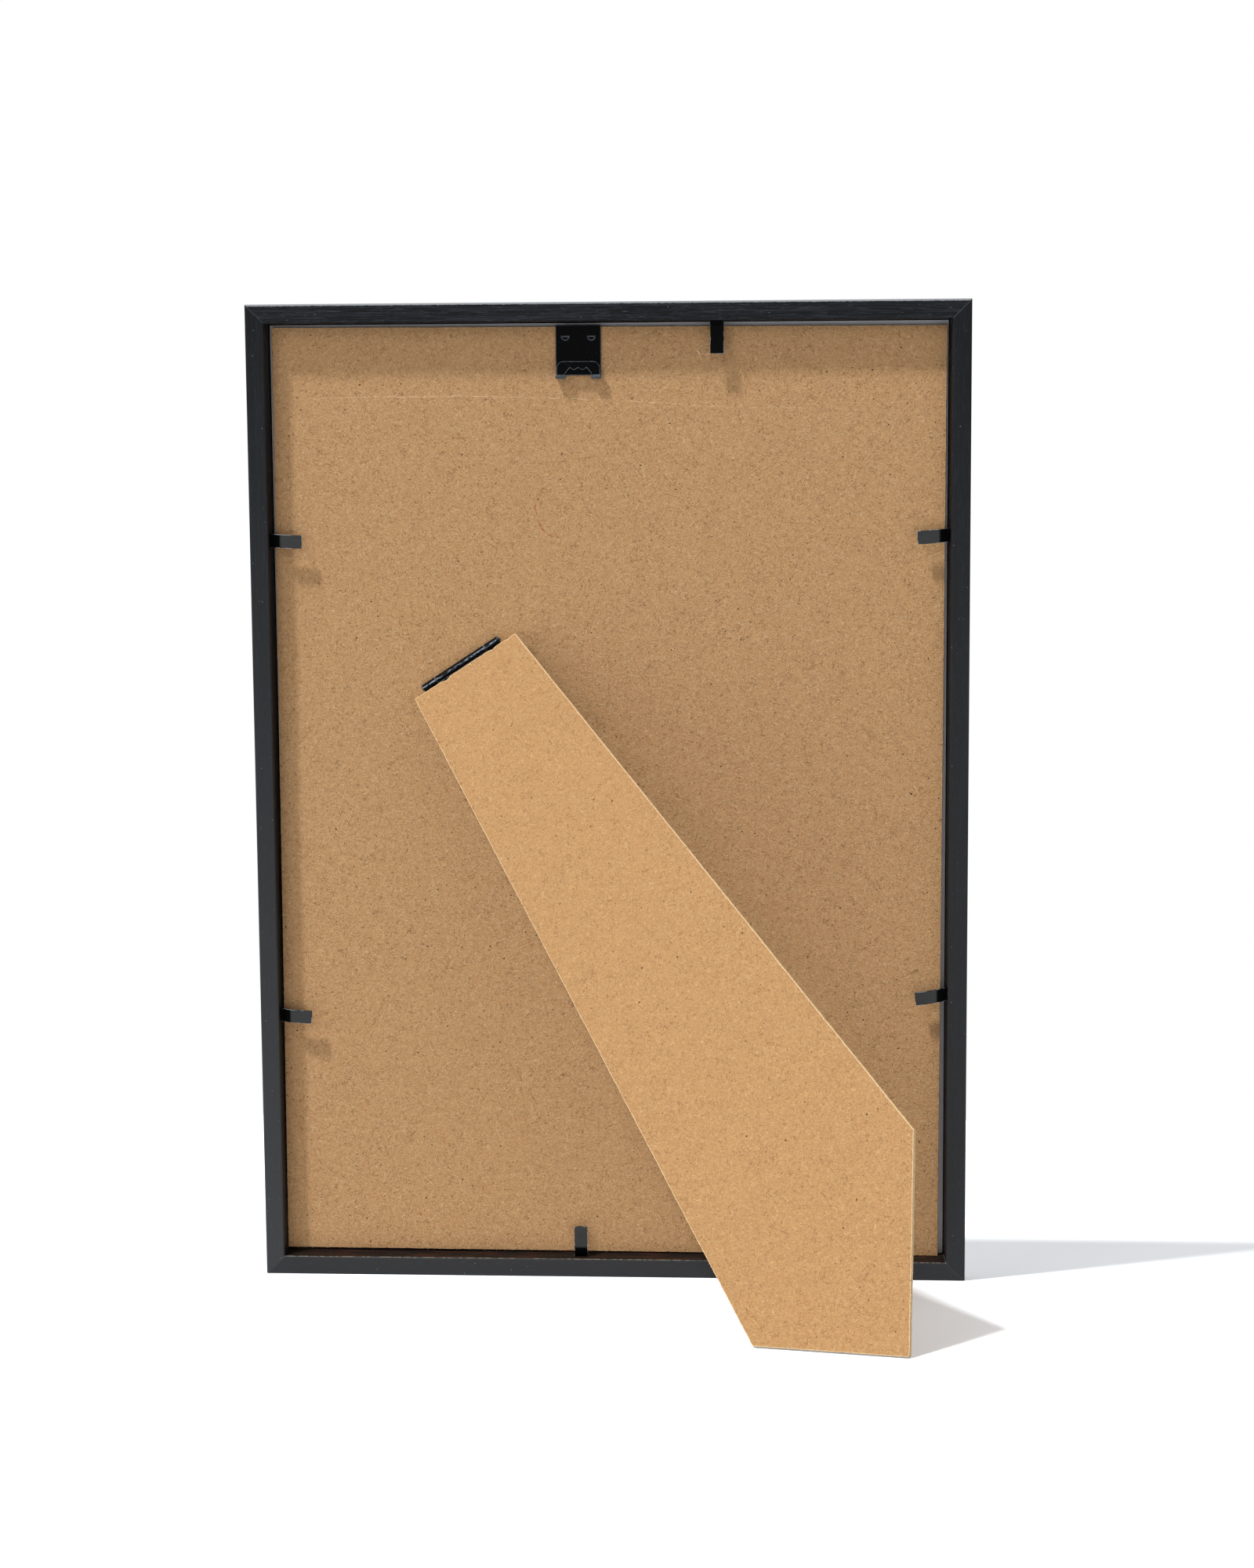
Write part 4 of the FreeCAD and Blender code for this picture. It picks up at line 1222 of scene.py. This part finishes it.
@dataclass
class Studio:
    """White sweep, one key lamp high on the left, two soft lamps and an even room."""

    floor_half: float = 0.85  # m
    floor_seen: str = "#e9edf1"
    floor_lift: float = 0.285
    floor_bounce: str = "#cfcfcf"
    key_way: Way = (-0.395, -0.509, 0.765)
    key_power: float = 4.1
    key_spread: float = 4.2  # degrees
    left: SoftLamp = SoftLamp("left_lamp", 5.5, 0.6, (-0.5, -0.75, 0.42))
    # the glazing mirrors the even room, not the lamp behind the frame
    rear: SoftLamp = SoftLamp("rear_lamp", 9.0, 1.2, (0.3, 0.9, 0.4), mirrored=False)
    key_reach: float = 3.0  # m from the point that the lamps aim at
    soft_reach: float = 1.7
    aim: Way = (0, 0, 0.15)
    room: float = 0.36
    lens: float = 44.3885  # mm, on a sensor of 36 mm
    rise: float = -0.155  # shift of the picture, in its longer side
    eye: Way = (0.029413, -0.593222, 0.089911)
    forward: Way = (-0.038964, 0.973396, 0.22579)
    upward: Way = (0.003804, -0.225815, 0.974163)

    def build(self) -> None:
        """Sets the floor, the room and the lamps."""
        self.floor()
        self.world()
        self.lamps()
        self.camera()

    def floor(self) -> None:
        """Lays the floor, which the camera sees white and which keeps the shadow."""
        mesh = bpy.data.meshes.new("studio_floor")
        half = self.floor_half
        corners = [(-half, -half, 0), (half, -half, 0), (half, half, 0), (-half, half, 0)]
        mesh.from_pydata(corners, [], [(0, 1, 2, 3)])
        floor = bpy.data.objects.new("studio_floor", mesh)
        bpy.context.scene.collection.objects.link(floor)
        material, tree = blank("white_sweep")
        bounce = add(tree, "ShaderNodeBsdfDiffuse", {"Color": linear(self.floor_bounce)})
        shown = add(tree, "ShaderNodeBsdfDiffuse", {"Color": linear(self.floor_seen)})
        lift = add(tree, "ShaderNodeEmission", {"Strength": self.floor_lift})
        shown = add(tree, "ShaderNodeAddShader", {0: shown, 1: lift})
        both = add(tree, "ShaderNodeMixShader", {0: plainly_seen(tree), 1: bounce, 2: shown})
        add(tree, "ShaderNodeOutputMaterial", {"Surface": both})
        mesh.materials.append(material)

    def world(self) -> None:
        """Sets an even room light, which the camera sees as white."""
        world = bpy.data.worlds.new("studio_room")
        bpy.context.scene.world = world
        world.use_nodes = True
        tree = world.node_tree
        tree.nodes.clear()
        level = add(tree, RAMP, {"Value": plainly_seen(tree), "To Min": self.room, "To Max": 1.0})
        sky = add(tree, "ShaderNodeBackground", {"Color": linear("#ffffff"), "Strength": level})
        add(tree, "ShaderNodeOutputWorld", {"Surface": sky})

    def lamps(self) -> None:
        """Hangs the key lamp, a soft lamp by the camera's left and a broad one on the far side."""
        key = bpy.data.lights.new("key_lamp", "SUN")
        key.energy = self.key_power
        key.angle = math.radians(self.key_spread)
        self.hang(key, self.key_way, self.key_reach)
        for soft in (self.left, self.rear):
            lamp = bpy.data.lights.new(soft.name, "AREA")
            lamp.shape = "SQUARE"
            lamp.size = soft.size
            lamp.energy = soft.power
            self.hang(lamp, soft.way, self.soft_reach).visible_glossy = soft.mirrored

    def hang(self, lamp: bpy.types.Light, way: Way, reach: float) -> Piece:
        """Hangs a lamp so far off on its way from the frame, and returns its holder."""
        holder = bpy.data.objects.new(lamp.name, lamp)
        bpy.context.scene.collection.objects.link(holder)
        place = Vector(way).normalized() * reach + Vector(self.aim)
        turn = Vector(way).to_track_quat("Z", "Y")
        holder.matrix_world = Matrix.LocRotScale(place, turn, None)
        return holder

    def camera(self) -> None:
        """Places the camera as in the photograph, low behind the frame and looking up."""
        lens = bpy.data.cameras.new("camera")
        lens.sensor_width = 36.0
        lens.lens = self.lens
        lens.shift_y = self.rise
        lens.clip_start = 0.01
        camera = bpy.data.objects.new("camera", lens)
        bpy.context.scene.collection.objects.link(camera)
        forward, upward = Vector(self.forward), Vector(self.upward)
        right = forward.cross(upward)
        turn = Matrix((right, upward, -forward)).transposed().to_4x4()
        camera.matrix_world = Matrix.Translation(self.eye) @ turn
        bpy.context.scene.camera = camera


def main() -> None:
    """Builds the frame's looks piece by piece, then the studio."""
    bpy.context.scene.view_settings.view_transform = "Standard"
    for part in (Moulding(), Backing(), EaselStrut(), Metalwork()):
        log.info("building %s", type(part).__name__)
        part.build()
    Studio().build()


if __name__ == "__main__":
    main()
